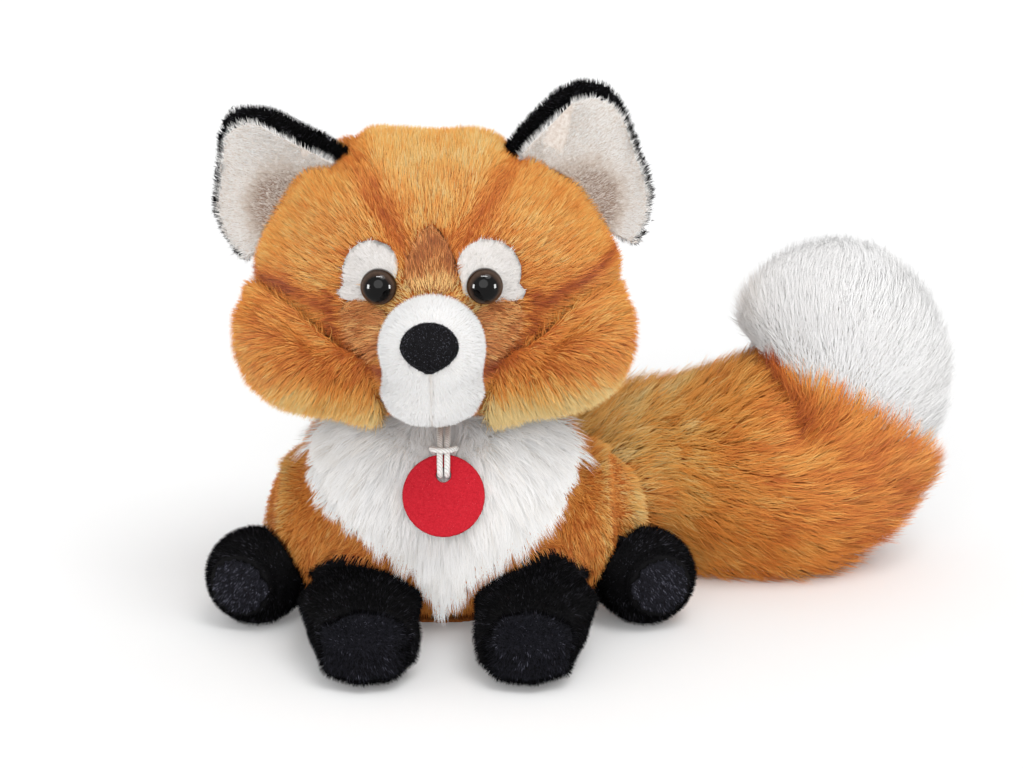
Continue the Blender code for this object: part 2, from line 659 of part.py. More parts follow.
def build_eye(side, head, pivot, gloss, washer_plastic):
    turn, rise = SIDES[side] * EYE_DEG[0], EYE_DEG[1]
    frame = facing(HEAD.seen_at(turn, rise), HEAD.normal_at(turn, rise))
    seat = SEAM_GAP + PATCH_THICKNESS + EYE_SEAT_GAP
    stem_end = seat - STEM_LENGTH
    profile = [(STEM_RADIUS, stem_end), (STEM_RADIUS, seat), (EYE_RADIUS, seat)]
    for angle in (math.pi / 2 * i / DOME_STEPS for i in range(DOME_STEPS)):
        profile.append((EYE_RADIUS * math.cos(angle), seat + EYE_RIM + EYE_DOME * math.sin(angle)))
    profile.append((0, seat + EYE_RIM + EYE_DOME))
    add_object("eye_" + side, turned_mesh("eye_" + side, profile, frame, PLATE_SEGMENTS), gloss, pivot)
    hole, wide = STEM_RADIUS + SEAM_GAP, WASHER_RADIUS + SEAM_GAP
    low, high = -WASHER_DEPTH - WASHER_THICKNESS, -WASHER_DEPTH
    ring = ((hole, low), (WASHER_RADIUS, low), (WASHER_RADIUS, high), (hole, high))
    name = "eye_washer_" + side
    add_object(name, washer_mesh(name, ring, frame, LIMB_SEGMENTS), washer_plastic, pivot)
    name = "eye_bore_" + side
    bore = ((hole, stem_end - SEAM_GAP), (hole, low - SEAM_GAP), (wide, low - SEAM_GAP),
            (wide, high + SEAM_GAP), (hole, high + SEAM_GAP), (hole, OVERRUN))
    boolean(head, add_cutter(name, turned_mesh(name, bore, frame, LIMB_SEGMENTS)))


def ear_frame(side):
    """The ear's frame on its fold axis: X runs towards the crown, Y to the back and Z out of the head."""
    sign = SIDES[side]
    slant = math.radians(EAR_SLANT_DEG[side])
    along = Vector((-sign * math.sin(slant), 0, math.cos(slant)))
    out = Vector((sign * math.cos(slant), 0, math.sin(slant)))
    out.rotate(Matrix.Rotation(math.radians(EAR_LEAN_BACK_DEG), 3, along * sign))
    along.rotate(Matrix.Rotation(math.radians(EAR_YAW_DEG), 3, out * sign))
    back = along.cross(out) * sign
    frame = Matrix((along, back, out)).transposed().to_4x4()
    frame.translation = HEAD.seen_at(sign * 90, EAR_ROOT_DEG[side]) - out * EAR_SINK
    frame.translation.y = EAR_BACK
    return frame


def ear_layer(name, side, tall, half_width, shift, front_back, thickness):
    """One cupped layer of an ear: rows from the trimmed foot to the rim, where its two faces meet."""
    frame = ear_frame(side)
    turns = [Matrix.Rotation(math.radians(share * EAR_FOLD_DEG), 4, "X") for share in FOLD_SHARES]

    def shape(across, up, face):
        """The local point at across from -1 to 1 and up from 0 to 1, on the front (0) or the back (1)."""
        rounding = math.sqrt(1 - (EAR_ROUND_SHARE * up) ** EAR_ROUND_POWER)
        width = half_width * rounding * (1 - EAR_TAPER_SHARE * up)
        crest = tall * up * (1 - EAR_SHOULDER_SHARE * across * across * up)
        lean = EAR_LEAN_SHARE[side] * half_width * up * up
        rim = math.sqrt(1 - abs(across) ** EAR_SIDE_POWER) * math.sqrt(1 - up ** EAR_TIP_POWER)
        depth = front_back - EAR_CUP * across * across * (1 - EAR_UNCUP_SHARE * up) + face * thickness * rim
        return Vector((across * width + lean - shift, depth, crest))

    def clear_of_head(local):
        return not any(HEAD.holds(frame @ (turn @ local), SEAM_GAP) for turn in turns)

    def trimmed(across, face):
        """The lowest share of the height at which the ear clears the head over its whole fold."""
        low, high = 0, 1
        for _ in range(EAR_TRIM_STEPS):
            middle = (low + high) / 2
            if clear_of_head(shape(across, middle, face)):
                high = middle
            else:
                low = middle
        return high

    grid = {}
    for face in (0, 1):
        for column in range(EAR_COLUMNS + 1):
            across = 2 * column / EAR_COLUMNS - 1
            foot = trimmed(across, face)
            for row in range(EAR_ROWS + 1):
                grid[column, row, face] = frame @ shape(across, foot + (1 - foot) * row / EAR_ROWS, face)

    bm = bmesh.new()
    made = {}

    def vert(column, row, face):
        """The vertex there; the two faces share those of the rim."""
        face = 0 if row == EAR_ROWS or column in (0, EAR_COLUMNS) else face
        if (column, row, face) not in made:
            made[column, row, face] = bm.verts.new(grid[column, row, face])
        return made[column, row, face]

    for face in (0, 1):
        for column in range(EAR_COLUMNS):
            for row in range(EAR_ROWS):
                bm.faces.new((vert(column, row, face), vert(column + 1, row, face),
                              vert(column + 1, row + 1, face), vert(column, row + 1, face)))
    for column in range(EAR_COLUMNS):
        corners = [vert(column, 0, 0), vert(column + 1, 0, 0), vert(column + 1, 0, 1), vert(column, 0, 1)]
        bm.faces.new(list(dict.fromkeys(corners)))
    return mesh_from(name, bm)


def build_ear(side, head_pivot, black, pale):
    pivot = add_empty("ear_pivot_" + side, ear_frame(side).translation, head_pivot)
    tall = EAR_TALL[side] + EAR_SINK
    back = ear_layer("ear_back_" + side, side, tall, EAR_HALF_WIDTH, 0, 0, EAR_BACK_THICKNESS)
    add_object("ear_back_" + side, back, black, pivot)
    lining = ear_layer("ear_lining_" + side, side, tall * EAR_LINING_SHARE, EAR_HALF_WIDTH * EAR_LINING_SHARE,
                       EAR_LINING_SHIFT, -EAR_LINING_THICKNESS - EAR_LAYER_GAP, EAR_LINING_THICKNESS)
    add_object("ear_lining_" + side, lining, pale, pivot)


def tag_frame():
    lean = math.radians(TAG_LEAN_DEG)
    frame = Matrix(((1, 0, 0), (0, -math.cos(lean), math.sin(lean)), (0, math.sin(lean), math.cos(lean))))
    frame = frame.transposed().to_4x4()
    frame.translation = TAG_MIDDLE
    return frame


def build_tag(bib, torso, red, cord_white):
    frame = tag_frame()
    outward = frame.to_3x3() @ Vector((0, 1, 0))
    route = [frame @ Vector(spot) for spot in CORD_ROUTE]
    route += [frame @ Vector((-across, out, up)) for across, out, up in reversed(CORD_ROUTE[:-1])]
    pivot = add_empty("tag_pivot", (route[0] + route[-1]) / 2)
    rim = ((TAG_RADIUS, -TAG_THICKNESS / 2), (TAG_RADIUS, TAG_THICKNESS / 2))
    disc_mesh = turned_mesh("tag_disc", rim, facing(TAG_MIDDLE, outward), TAG_SEGMENTS)
    disc = add_object("tag_disc", disc_mesh, red, pivot)
    hole = ((TAG_HOLE_RADIUS, -OVERRUN), (TAG_HOLE_RADIUS, OVERRUN))
    hole_frame = facing(frame @ Vector((0, 0, TAG_HOLE_DROP)), outward)
    boolean(disc, add_cutter("tag_hole", turned_mesh("tag_hole", hole, hole_frame, SMALL_SEGMENTS)))
    curve = bpy.data.curves.new("tag_cord", "CURVE")
    curve.dimensions = "3D"
    curve.bevel_depth = CORD_RADIUS
    curve.bevel_resolution = 2
    curve.use_fill_caps = True
    spline = curve.splines.new("POLY")
    spline.points.add(len(route) - 1)
    for point, spot in zip(spline.points, route):
        point.co = (*spot, 1)
    add_object("tag_cord", curve, cord_white, pivot)
    for number, end in enumerate((route[0], route[-1])):
        for target in (bib, torso):
            socket(target, end, CORD_SOCKET_RADIUS, f"cord_socket_{number}_{target.name}")


def main():
    clear_scene()
    orange = material("orange_plush", (0.50, 0.17, 0.035), 0.9)
    cheek_orange = material("cheek_plush", (0.55, 0.20, 0.045), 0.9)
    dark = material("brown_plush", (0.22, 0.085, 0.03), 0.9)
    pale = material("pale_plush", (0.62, 0.58, 0.54), 0.9)
    white = material("white_plush", (0.85, 0.83, 0.80), 0.9)
    velour = material("white_velour", (0.86, 0.84, 0.81), 0.85)
    black = material("black_plush", (0.012, 0.012, 0.014), 0.85)
    sole_black = material("black_velour", (0.02, 0.022, 0.03), 0.7)
    nose_black = material("black_fleece", (0.01, 0.01, 0.011), 0.9)
    gloss = material("eye_plastic", (0.03, 0.014, 0.008), 0.08)
    washer_plastic = material("washer_plastic", (0.8, 0.8, 0.78), 0.4)
    base_cloth = material("seat_cloth", (0.42, 0.15, 0.035), 0.9)
    pellets = material("pellet_bag_cloth", (0.7, 0.68, 0.64), 0.8)
    red = material("red_felt", (0.62, 0.012, 0.03), 0.85)
    cord_white = material("white_cord", (0.85, 0.85, 0.83), 0.7)

    torso = build_torso(orange, base_cloth, pellets)
    bib = build_bib(white)
    haunches = {side: build_haunch(side, orange) for side in SIDES}
    for side in SIDES:
        build_front_leg(side, torso, haunches[side], black, sole_black)
        build_hind_foot(side, torso, haunches[side], black, sole_black)
    build_tail(torso, haunches["left"], orange, white)

    neck = add_empty("neck_pivot", (HEAD_X, -CHEST_FORWARD, NECK_HEIGHT))
    head = add_object("head", HEAD.mesh("head", LARGE_SEGMENTS), orange, neck)
    for side in SIDES:
        build_cheek(side, neck, cheek_orange)
        build_eye(side, head, neck, gloss, washer_plastic)
        build_ear(side, neck, black, white)
    build_muzzle(neck, velour, nose_black)
    build_face_patches(neck, pale, dark)
    build_tag(bib, torso, red, cord_white)


main()
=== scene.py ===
"""Looks of the seated plush fox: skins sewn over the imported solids, with real strands of pile on them.

Each soft solid gets a skin, drawn in by the depth of its pile. Strands grow on the skin and follow a
combing direction. All lengths are metres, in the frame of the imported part: the fox faces -Y.
"""

import math
from collections import namedtuple

import bmesh
import bpy
import numpy as np
from mathutils import Matrix, Vector
from mathutils.bvhtree import BVHTree
from mathutils.kdtree import KDTree


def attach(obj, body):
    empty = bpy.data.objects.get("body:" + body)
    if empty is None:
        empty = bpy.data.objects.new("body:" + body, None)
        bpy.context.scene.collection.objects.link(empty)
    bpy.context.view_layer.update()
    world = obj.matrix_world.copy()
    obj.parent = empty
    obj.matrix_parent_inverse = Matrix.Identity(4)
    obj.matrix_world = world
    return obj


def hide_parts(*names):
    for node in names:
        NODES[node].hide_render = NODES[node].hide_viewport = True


MM = 0.001
SIDES = {"left": 1, "right": -1}

# Camera: 16 degrees down from 1.25 m
CAMERA_AT = (0.0256, -1.22158, 0.43292)
CAMERA_DOWN_DEG = 16.0
CAMERA_LENS = 122.07

# Places that the combing and the seams are measured from
HEAD_X = -0.0018
HEART = np.array((HEAD_X, -0.020, 0.126))
FACE_POINT = np.array((HEAD_X, -0.072, 0.122))
MUZZLE_POINT = np.array((HEAD_X, -0.066, 0.118))
NECK_POINT = np.array((0.0005, -0.036, 0.098))
ANKLE = {"left": np.array((0.0618, -0.016, 0.017)), "right": np.array((-0.0552, -0.016, 0.017))}

# The head: its inset, the crown panel's half width by the angle round the head, its seams and corners
HEAD_INSET = 0.0032
CROWN_DEG = (15, 26, 49, 78, 120, 150, 200)
CROWN_HALF_WIDTH = (0.0070, 0.0093, 0.0190, 0.0270, 0.0270, 0.0200, 0.0100)
SEAM_DEPTH = 0.0016
CROWN_CORNER = {"left": -0.0028, "right": 0.0020}
TEMPLE = {"left": 0.0044, "right": 0.0026}
# The hollows in front of the ears: x, z, radius, depth
EAR_HOLLOW = {"left": (0.0400, 0.1680, 0.0135, 0.0062), "right": (-0.0400, 0.1730, 0.0095, 0.0068)}
EAR_ROOT_HOLLOW = 0.0032

# Creases of the face, where shade is painted into the hair, and the blaze's dark edge, seen from the front, as
# (x, z) millimetres
CREASE_WIDTH = 0.0024
CREASES = (
    ((-36.0, 131.0), (-35.6, 120.9), (-31.6, 114.0), (-24.8, 108.6), (-18.0, 105.8)),
    ((32.0, 131.3), (31.6, 120.4), (26.2, 114.0), (18.0, 108.6), (13.6, 105.8)),
    ((-65.6, 131.8), (-51.0, 131.4), (-36.1, 127.4)),
    ((63.8, 140.0), (47.5, 133.5), (31.9, 127.4)),
)
BLAZE_EDGE = ((-10.5, 137.0), (-8.0, 145.0), (-1.3, 152.0), (5.0, 145.0), (8.5, 137.0))

# The cheeks: rise of the outer ends, hang and reach beside the chin, sink round the muzzle, broad top
CHEEK_RISE = 0.0100
CHEEK_HANG = 0.0052
CHEEK_REACH = 0.0075
CHEEK_SINK = 0.0040
CHEEK_TOP = 0.0042

# Muzzle, nose and eyes
CHIN_SQUARE = 0.16
CHIN_DROP = 0.0022
NOSE_BOTTOM = 0.1130
NOSE_X = -0.0022
NOSE_DROP = 0.0024
NOSE_POINT = 0.0012
SEAM_WIDTH = 0.0007
EYE_RADIUS = 0.0063
EYE_DOME = 0.0048
EYE_RIM = 0.0012
EYE_STEM = 0.0016
EYE_SET_BACK = 0.0012

# How the sewn patches sit: packed x, seen x, x scale, packed z, seen z, z scale
PATCH_RISE = 0.0001
PATCH_FIT = {
    "eye_patch_right": (-0.0116, -0.0140, 1.28, 0.1324, 0.1316, 1.08),
    "eye_patch_left": (0.0080, 0.0074, 1.42, 0.1324, 0.1314, 1.10),
    "tear_patch_right": (-0.0269, -0.0268, 1.36, 0.1318, 0.1330, 1.22),
    "tear_patch_left": (0.0233, 0.0220, 1.40, 0.1318, 0.1330, 1.22),
    "blaze_patch": (-0.0018, -0.0022, 1.10, 0.1366, 0.1362, 1.16),
}

# The ears: pivots, where the lining stops short of the black edge, and how the inner ends run to the crown
EAR_PIVOT = {"left": np.array((0.0484, -0.008, 0.153)), "right": np.array((-0.0528, -0.008, 0.1512))}
LINING_EDGE_WAY = {"left": (-0.69, 0.0, 0.73), "right": (0.42, 0.0, 0.90)}
LINING_EDGE = 0.0035
EAR_END = {"left": (0.0369, -0.024, 0.1770), "right": (-0.0442, -0.024, 0.1746)}
EAR_RUN = {"left": (-0.0125, 0.000, -0.0010), "right": (0.0125, 0.000, 0.0005)}
EAR_SINK = 0.0035
# How the ears' tops move: x, z, the move in x and z, and its reach
EAR_TOP = {
    "left": ((0.0430, 0.1880, -0.0034, 0.0004, 0.0110), (0.0560, 0.1975, -0.0034, 0.0, 0.0100)),
    "right": ((-0.0690, 0.1880, 0.0012, -0.0014, 0.0120),),
}

# The bib's sides by height, the lines where the body's sides turn away as (x, z) millimetres,
# and the planes, as a point and a direction, where the haunches are cut from the body's skin
BIB_HEIGHTS = (0.0182, 0.0300, 0.0426, 0.0600, 0.0770, 0.0850)
BIB_LEFT = (0.0038, -0.0130, -0.0290, -0.0400, -0.0520, -0.0530)
BIB_RIGHT = (0.0038, 0.0220, 0.0380, 0.0450, 0.0510, 0.0520)
BODY_LINES = {
    "right": ((-49.2, 6.0), (-56.7, 16.4), (-59.2, 27.5), (-58.9, 42.3), (-56.2, 60.4), (-50.2, 77.7)),
    "left": ((55.4, 6.0), (60.1, 16.4), (61.4, 31.3), (59.4, 58.6), (52.4, 78.5)),
}
BODY_CUT = {
    "right": (np.array((-0.0560, -0.030, 0.040)), np.array((-0.82, 0.55, 0.10))),
    "left": (np.array((0.0580, -0.030, 0.040)), np.array((0.82, 0.55, 0.10))),
}
HAUNCH_STEP = 0.0130
HAUNCH_SLIM = 0.0040
BODY_RIM = 0.0014

# The front legs, and the cap of the paw that is the sole
LEG_BREADTH = 1.07
LEG_SQUARE = 0.27
LEG_OUT = 0.0018
LEG_SHOULDER = 0.0030
PAW_BREADTH = 0.12
PAW_FORWARD = 0.0066
PAW_RISE = 0.0028
SOLE_CAP = 0.0105
SOLE_WAY = np.array((0.0, -0.97, 0.24))
SOLE_GROOVE = 0.0009
SOLE_DIMPLE = 0.0016
FOOT_TURN_DEG = 20

# The tail's middle line from the root to the tip, its fold as (x, z) millimetres, and its forms
TAIL_LINE = ((0.026, 0.043, 0.030), (0.044, 0.046, 0.0315), (0.0655, 0.0455, 0.034),
             (0.088, 0.041, 0.0371), (0.108, 0.037, 0.0391), (0.1248, 0.036, 0.0415),
             (0.1373, 0.039, 0.0468), (0.145, 0.042, 0.056), (0.1495, 0.045, 0.0685),
             (0.1515, 0.0465, 0.0835), (0.1528, 0.047, 0.0988), (0.1535, 0.0475, 0.111),
             (0.1538, 0.048, 0.1193))
TAIL_FOLD = ((103.0, 95.0), (112.0, 86.5), (122.0, 78.0), (130.0, 58.0))
TAIL_FOLD_DEPTH = 0.0050
TAIL_DIP = 0.0030
TAIL_BEND = 0.0028
TIP_SPREAD_INNER = 0.0045
TIP_SPREAD_OUTER = 0.0025
TIP_DIRECTION = np.array((0.50, 0.37, 0.85))
TIP_SEAM_POINT = np.array((0.150, 0.044, 0.056))

# Tag and cord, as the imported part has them: the route is in the tag's own frame (across, out, up)
TAG_MIDDLE = (0.0016, -0.0610, 0.0593)
TAG_LEAN = math.radians(17.0)
TAG_OUT = np.array((0, -math.cos(TAG_LEAN), math.sin(TAG_LEAN)))
TAG_UP = np.array((0, math.sin(TAG_LEAN), math.cos(TAG_LEAN)))
TAG_RADIUS = 0.0145
CORD_RADIUS = 0.00105
CORD_ROUTE = ((-0.0013, -0.0140, 0.0252), (-0.0013, -0.0118, 0.0249), (-0.0013, -0.0090, 0.0243),
              (-0.0013, -0.0062, 0.0233), (-0.0013, -0.0035, 0.0218), (-0.0013, -0.0010, 0.0200),
              (-0.0013, 0.0010, 0.0180), (-0.0013, 0.0023, 0.0158), (-0.0013, 0.0027, 0.0135),
              (-0.0013, 0.0027, 0.0112), (-0.00125, 0.0022, 0.0090), (-0.00125, 0.0010, 0.0074),
              (-0.00125, -0.0008, 0.0071), (-0.0013, -0.0023, 0.0082), (-0.0014, -0.0028, 0.0104),
              (-0.0020, -0.0028, 0.0126), (-0.0030, -0.0024, 0.0146), (-0.0038, -0.0010, 0.0160),
              (-0.0042, 0.0010, 0.0166), (-0.0038, 0.0031, 0.0165), (-0.0026, 0.0045, 0.0161),
              (-0.0012, 0.0050, 0.0159), (0.0, 0.0051, 0.0159))
# How far out the cord lies, by its height on the tag
CORD_UP = (0.0070, 0.0110, 0.0180, 0.0218, 0.0243, 0.0252)
CORD_OUT = (0.0, 0.0020, 0.0, -0.0040, -0.0095, -0.0145)

# Strands: most faces in one piece, how deep the roots sit, and the blade's section as (across, out)
MOST_FACES = 190000
ROOT_DEPTH = 0.0004
BLADE_CORNERS = ((0.0, 0.36), (1.0, -0.14), (-1.0, -0.14))
BLADE_ROLL = 0.30
BLADE_TAPER = 0.6
FLOOR_CLEARANCE = 0.0004
LIFT_WAY = np.array((0.05, -0.45, 0.89))
BIB_LIFT_WAY = np.array((0.0, -0.96, 0.28))

Pile = namedtuple("Pile", "per_mm2 length width lean_deg segments tuft gather frizz vary lift")
PILES = {
    "head": Pile(3.3, 0.0054, 0.00031, (10, 48), 2, 0.0016, 0.42, 0.0005, 0.10, 0.25),
    "cheek": Pile(3.0, 0.0068, 0.00032, (14, 52), 2, 0.0020, 0.42, 0.0005, 0.11, 0.25),
    "torso": Pile(3.0, 0.0054, 0.00031, (14, 52), 2, 0.0016, 0.42, 0.0005, 0.10, 0.45),
    "bib": Pile(2.4, 0.0180, 0.00042, (34, 78), 3, 0.0044, 0.72, 0.0008, 0.13, 1.2),
    "tail": Pile(1.9, 0.0160, 0.00040, (32, 70), 3, 0.0042, 0.62, 0.0010, 0.10, 0.55),
    "tip": Pile(2.4, 0.0142, 0.00042, (34, 70), 3, 0.0028, 0.12, 0.0006, 0.03, 1.7),
    "leg": Pile(4.4, 0.0026, 0.00032, (10, 46), 1, 0.0011, 0.30, 0.0003, 0.24, 0.0),
    "paw": Pile(4.4, 0.0029, 0.00032, (6, 42), 1, 0.0012, 0.35, 0.0004, 0.26, 0.0),
    "sole": Pile(4.4, 0.0018, 0.00032, (15, 55), 1, 0.0012, 0.30, 0.0003, 0.24, 0.0),
    "ear_back": Pile(4.2, 0.0030, 0.00034, (15, 50), 1, 0.0013, 0.30, 0.0003, 0.26, 0.0),
    "ear_lining": Pile(4.4, 0.0034, 0.00032, (15, 58), 1, 0.0016, 0.25, 0.0004, 0.07, 0.8),
    "eye_patch": Pile(4.6, 0.0026, 0.00032, (12, 50), 1, 0.0015, 0.25, 0.0003, 0.08, 0.3),
    "brown": Pile(3.4, 0.0046, 0.00031, (12, 50), 2, 0.0016, 0.40, 0.0004, 0.13, 0.4),
    "velour": Pile(6.0, 0.0021, 0.00030, (6, 40), 1, 0.0012, 0.10, 0.0003, 0.06, 0.4),
    "fleece": Pile(8.0, 0.0010, 0.00034, (10, 85), 1, 0.0008, 0.50, 0.0003, 0.42, 0.0),
    "felt": Pile(6.0, 0.0007, 0.00024, (30, 85), 1, 0.0008, 0.30, 0.0003, 0.36, 0.0),
}

# Light: the world's fill, broad suns (name, place, strength, spread in degrees), and panels that only
# shine in the eyes (name, place, watts, sides)
WHITE = (1, 1, 1, 1)
LIT_POINT = (0.02, -0.02, 0.08)
WORLD_FILL = 0.60
FLOOR_GLOW = 0.11
FLOOR_HALF = 6.0
SUNS = (("key", (0.42, -0.65, 1.35), 1.12, 32), ("front", (-0.10, -1.6, 0.62), 1.36, 45))
PANELS = (
    ("window_left", (-0.85, -0.60, 0.14), 12.0, (0.22, 0.34)),
    ("window_right", (0.85, -0.60, 0.14), 12.0, (0.22, 0.34)),
    ("window_high", (0.0, -0.50, 0.95), 6.0, (0.50, 0.06)),
)

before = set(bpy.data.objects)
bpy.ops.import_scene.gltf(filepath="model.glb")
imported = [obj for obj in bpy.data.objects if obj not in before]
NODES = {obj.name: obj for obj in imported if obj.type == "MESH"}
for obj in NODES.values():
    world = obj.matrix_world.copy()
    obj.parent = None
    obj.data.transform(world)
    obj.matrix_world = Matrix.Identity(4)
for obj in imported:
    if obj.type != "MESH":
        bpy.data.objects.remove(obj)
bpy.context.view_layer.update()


def linear(red, green, blue):
    """A colour given as it looks on a screen, from 0 to 255, in linear values."""
    found = []
    for value in (red, green, blue):
        share = value / 255
        found.append(share / 12.92 if share <= 0.04045 else ((share + 0.055) / 1.055) ** 2.4)
    return (*found, 1.0)


def smooth_step(value, low, high):
    share = np.clip((value - low) / (high - low), 0, 1)
    return share * share * (3 - 2 * share)


def bell(value, width):
    """1 where the value is 0, falling off smoothly over about this width."""
    return np.exp(-(value / width) ** 2)


def unit(vectors):
    return vectors / np.maximum(np.linalg.norm(vectors, axis=-1, keepdims=True), 1e-12)


def columns(x, y, z):
    return np.stack(np.broadcast_arrays(x, y, z), axis=1)


def front_gap(at, point):
    """Distance from a point, seen from the front."""
    return np.linalg.norm((at - point)[:, [0, 2]], axis=1)


def from_line(at, line):
    """Distance, seen from the front, from a line of (x, z) points in millimetres."""
    best = np.full(len(at), 1.0)
    flat = at[:, [0, 2]]
    for start, end in zip(line[:-1], line[1:]):
        start, end = np.array(start) * MM, np.array(end) * MM
        step = end - start
        share = np.clip(((flat - start) @ step) / (step @ step), 0, 1)
        best = np.minimum(best, np.linalg.norm(flat - (start + share[:, None] * step), axis=1))
    return best


def off_plane(at, ways, point, way, gap, turn):
    """Leaves out roots on the flat face of a cut through this point."""
    off = np.abs((at - point) @ way)
    return ~((off < gap) & (np.abs(ways @ way) > turn))


def mottle(at, size, seed):
    """Soft irregular waves of about this size, from -1 to 1."""
    draw = np.random.default_rng(seed)
    total = np.zeros(len(at))
    waves = 7
    for _ in range(waves):
        way = unit(draw.normal(size=3)) * (2 * math.pi / (size * draw.uniform(0.7, 1.8)))
        total += np.sin(at @ way + draw.uniform(0, 2 * math.pi))
    return total / math.sqrt(waves) / 1.4


# Materials


def fill_socket(tree, socket, value):
    """Links another node's output to the socket, or sets the socket's own value."""
    if isinstance(value, bpy.types.NodeSocket):
        tree.links.new(value, socket)
    else:
        socket.default_value = value


def add_node(tree, kind, inputs=None, **settings):
    made = tree.nodes.new("ShaderNode" + kind)
    for key, value in settings.items():
        setattr(made, key, value)
    for key, value in (inputs or {}).items():
        fill_socket(tree, made.inputs[key], value)
    return made


def new_material(name):
    made = bpy.data.materials.new(name)
    made.use_nodes = True
    return made, made.node_tree, made.node_tree.nodes["Principled BSDF"]


def set_shader(tree, shader, colour, roughness, specular=None, **more):
    """Fills the main shader's sockets: more has the others by name, with _ for each blank."""
    values = {"Base Color": colour, "Roughness": roughness, "Specular IOR Level": specular}
    values |= {key.replace("_", " "): value for key, value in more.items()}
    for key, value in values.items():
        if value is not None:
            fill_socket(tree, shader.inputs[key], value)


def ramp(tree, stops, fac):
    made = add_node(tree, "ValToRGB", {"Fac": fac})
    elements = made.color_ramp.elements
    while len(elements) < len(stops):
        elements.new(0.5)
    for element, (place, colour) in zip(elements, stops):
        element.position = place
        element.color = colour
    return made.outputs["Color"]


def grey(value):
    return (value, value, value, 1.0)


def shades(*stops):
    """A ramp's stops, each given as a place and a screen colour."""
    return [(place, linear(*colour)) for place, *colour in stops]


def multiply(tree, first, second):
    return add_node(tree, "Mix", {"Factor": 1.0, "A": first, "B": second}, data_type="RGBA",
                    blend_type="MULTIPLY").outputs["Result"]


def raised(tree, height, strength, distance):
    values = {"Strength": strength, "Distance": distance, "Height": height}
    return add_node(tree, "Bump", values).outputs["Normal"]


def pile_material(name, stops, root=0.45, roughness=0.6, sheen=0.25, specular=0.2, tint=None):
    """Strands: the first map coordinate is the strand's shade, the second runs from root to tip."""
    made, tree, shader = new_material(name)
    place = add_node(tree, "UVMap", uv_map="OFBake")
    split = add_node(tree, "SeparateXYZ", {"Vector": place.outputs["UV"]})
    hue = ramp(tree, stops, split.outputs["X"])
    # Painted shade: each strand is darker towards its root, where the pile shades itself
    painted_root_shade = ((0.0, grey(root)), (0.55, grey((1 + root) / 2)), (1.0, grey(1.0)))
    depth = ramp(tree, painted_root_shade, split.outputs["Y"])
    set_shader(tree, shader, multiply(tree, hue, depth), roughness, specular, Sheen_Weight=sheen,
               Sheen_Roughness=0.5, Sheen_Tint=tint)
    return made


def cloth_material(name, dark, light, size, bump, weave=0.0):
    """Cloth seen between the strands, or bare: fine uneven colour with a matching bump."""
    made, tree, shader = new_material(name)
    place = add_node(tree, "TexCoord").outputs["Object"]
    grain = {"Vector": place, "Scale": 1 / size, "Detail": 6.0, "Roughness": 0.65}
    height = add_node(tree, "TexNoise", grain).outputs["Fac"]
    colour = ramp(tree, shades((0.3, *dark), (0.7, *light)), height)
    if weave:
        height = add_node(tree, "TexVoronoi", {"Vector": place, "Scale": 1 / weave}).outputs["Distance"]
        colour = multiply(tree, colour, ramp(tree, ((0.0, grey(1.0)), (0.8, grey(0.7))), height))
    set_shader(tree, shader, colour, 0.9, 0.1, Normal=raised(tree, height, bump, size))
    return made


def eye_material():
    """Glossy plastic: a black pupil, a dark brown ring round it and a darker rim."""
    made, tree, shader = new_material("eye_gloss")
    place = add_node(tree, "TexCoord").outputs["Object"]
    split = add_node(tree, "SeparateXYZ", {"Vector": place}).outputs
    flat = add_node(tree, "CombineXYZ", {"X": split["X"], "Y": split["Y"]}).outputs["Vector"]
    away = add_node(tree, "VectorMath", {0: flat}, operation="LENGTH").outputs["Value"]
    scaled = add_node(tree, "Math", {0: away, 1: 1 / EYE_RADIUS}, operation="MULTIPLY").outputs["Value"]
    rings = shades((0.0, 3, 2, 2), (0.66, 5, 4, 4), (0.74, 48, 34, 26), (0.88, 74, 56, 44), (0.97, 30, 22, 17))
    noise = add_node(tree, "TexNoise", {"Vector": place, "Scale": 900}).outputs["Fac"]
    shade = ramp(tree, ((0.3, grey(0.75)), (0.7, grey(1.15))), noise)
    set_shader(tree, shader, multiply(tree, ramp(tree, rings, scaled), shade), 0.03, 0.18)
    return made


def cord_material():
    """White braided polyester: fine ridges slanting round the cord."""
    made, tree, shader = new_material("white_braid")
    place = add_node(tree, "TexCoord").outputs["Object"]
    wave = add_node(tree, "TexWave", {"Vector": place, "Scale": 420, "Distortion": 0.6}, wave_type="BANDS",
                    bands_direction="DIAGONAL").outputs["Fac"]
    colour = ramp(tree, shades((0.0, 214, 211, 206), (0.5, 242, 241, 238)), wave)
    set_shader(tree, shader, colour, 0.7, Sheen_Weight=0.2, Normal=raised(tree, wave, 0.6, 0.0004))
    return made


def washer_material():
    made, tree, shader = new_material("washer_moulding")
    place = add_node(tree, "TexCoord").outputs["Object"]
    noise = add_node(tree, "TexNoise", {"Vector": place, "Scale": 1500}).outputs["Fac"]
    set_shader(tree, shader, ramp(tree, shades((0.3, 224, 224, 220), (0.7, 236, 236, 232)), noise), 0.4)
    return made


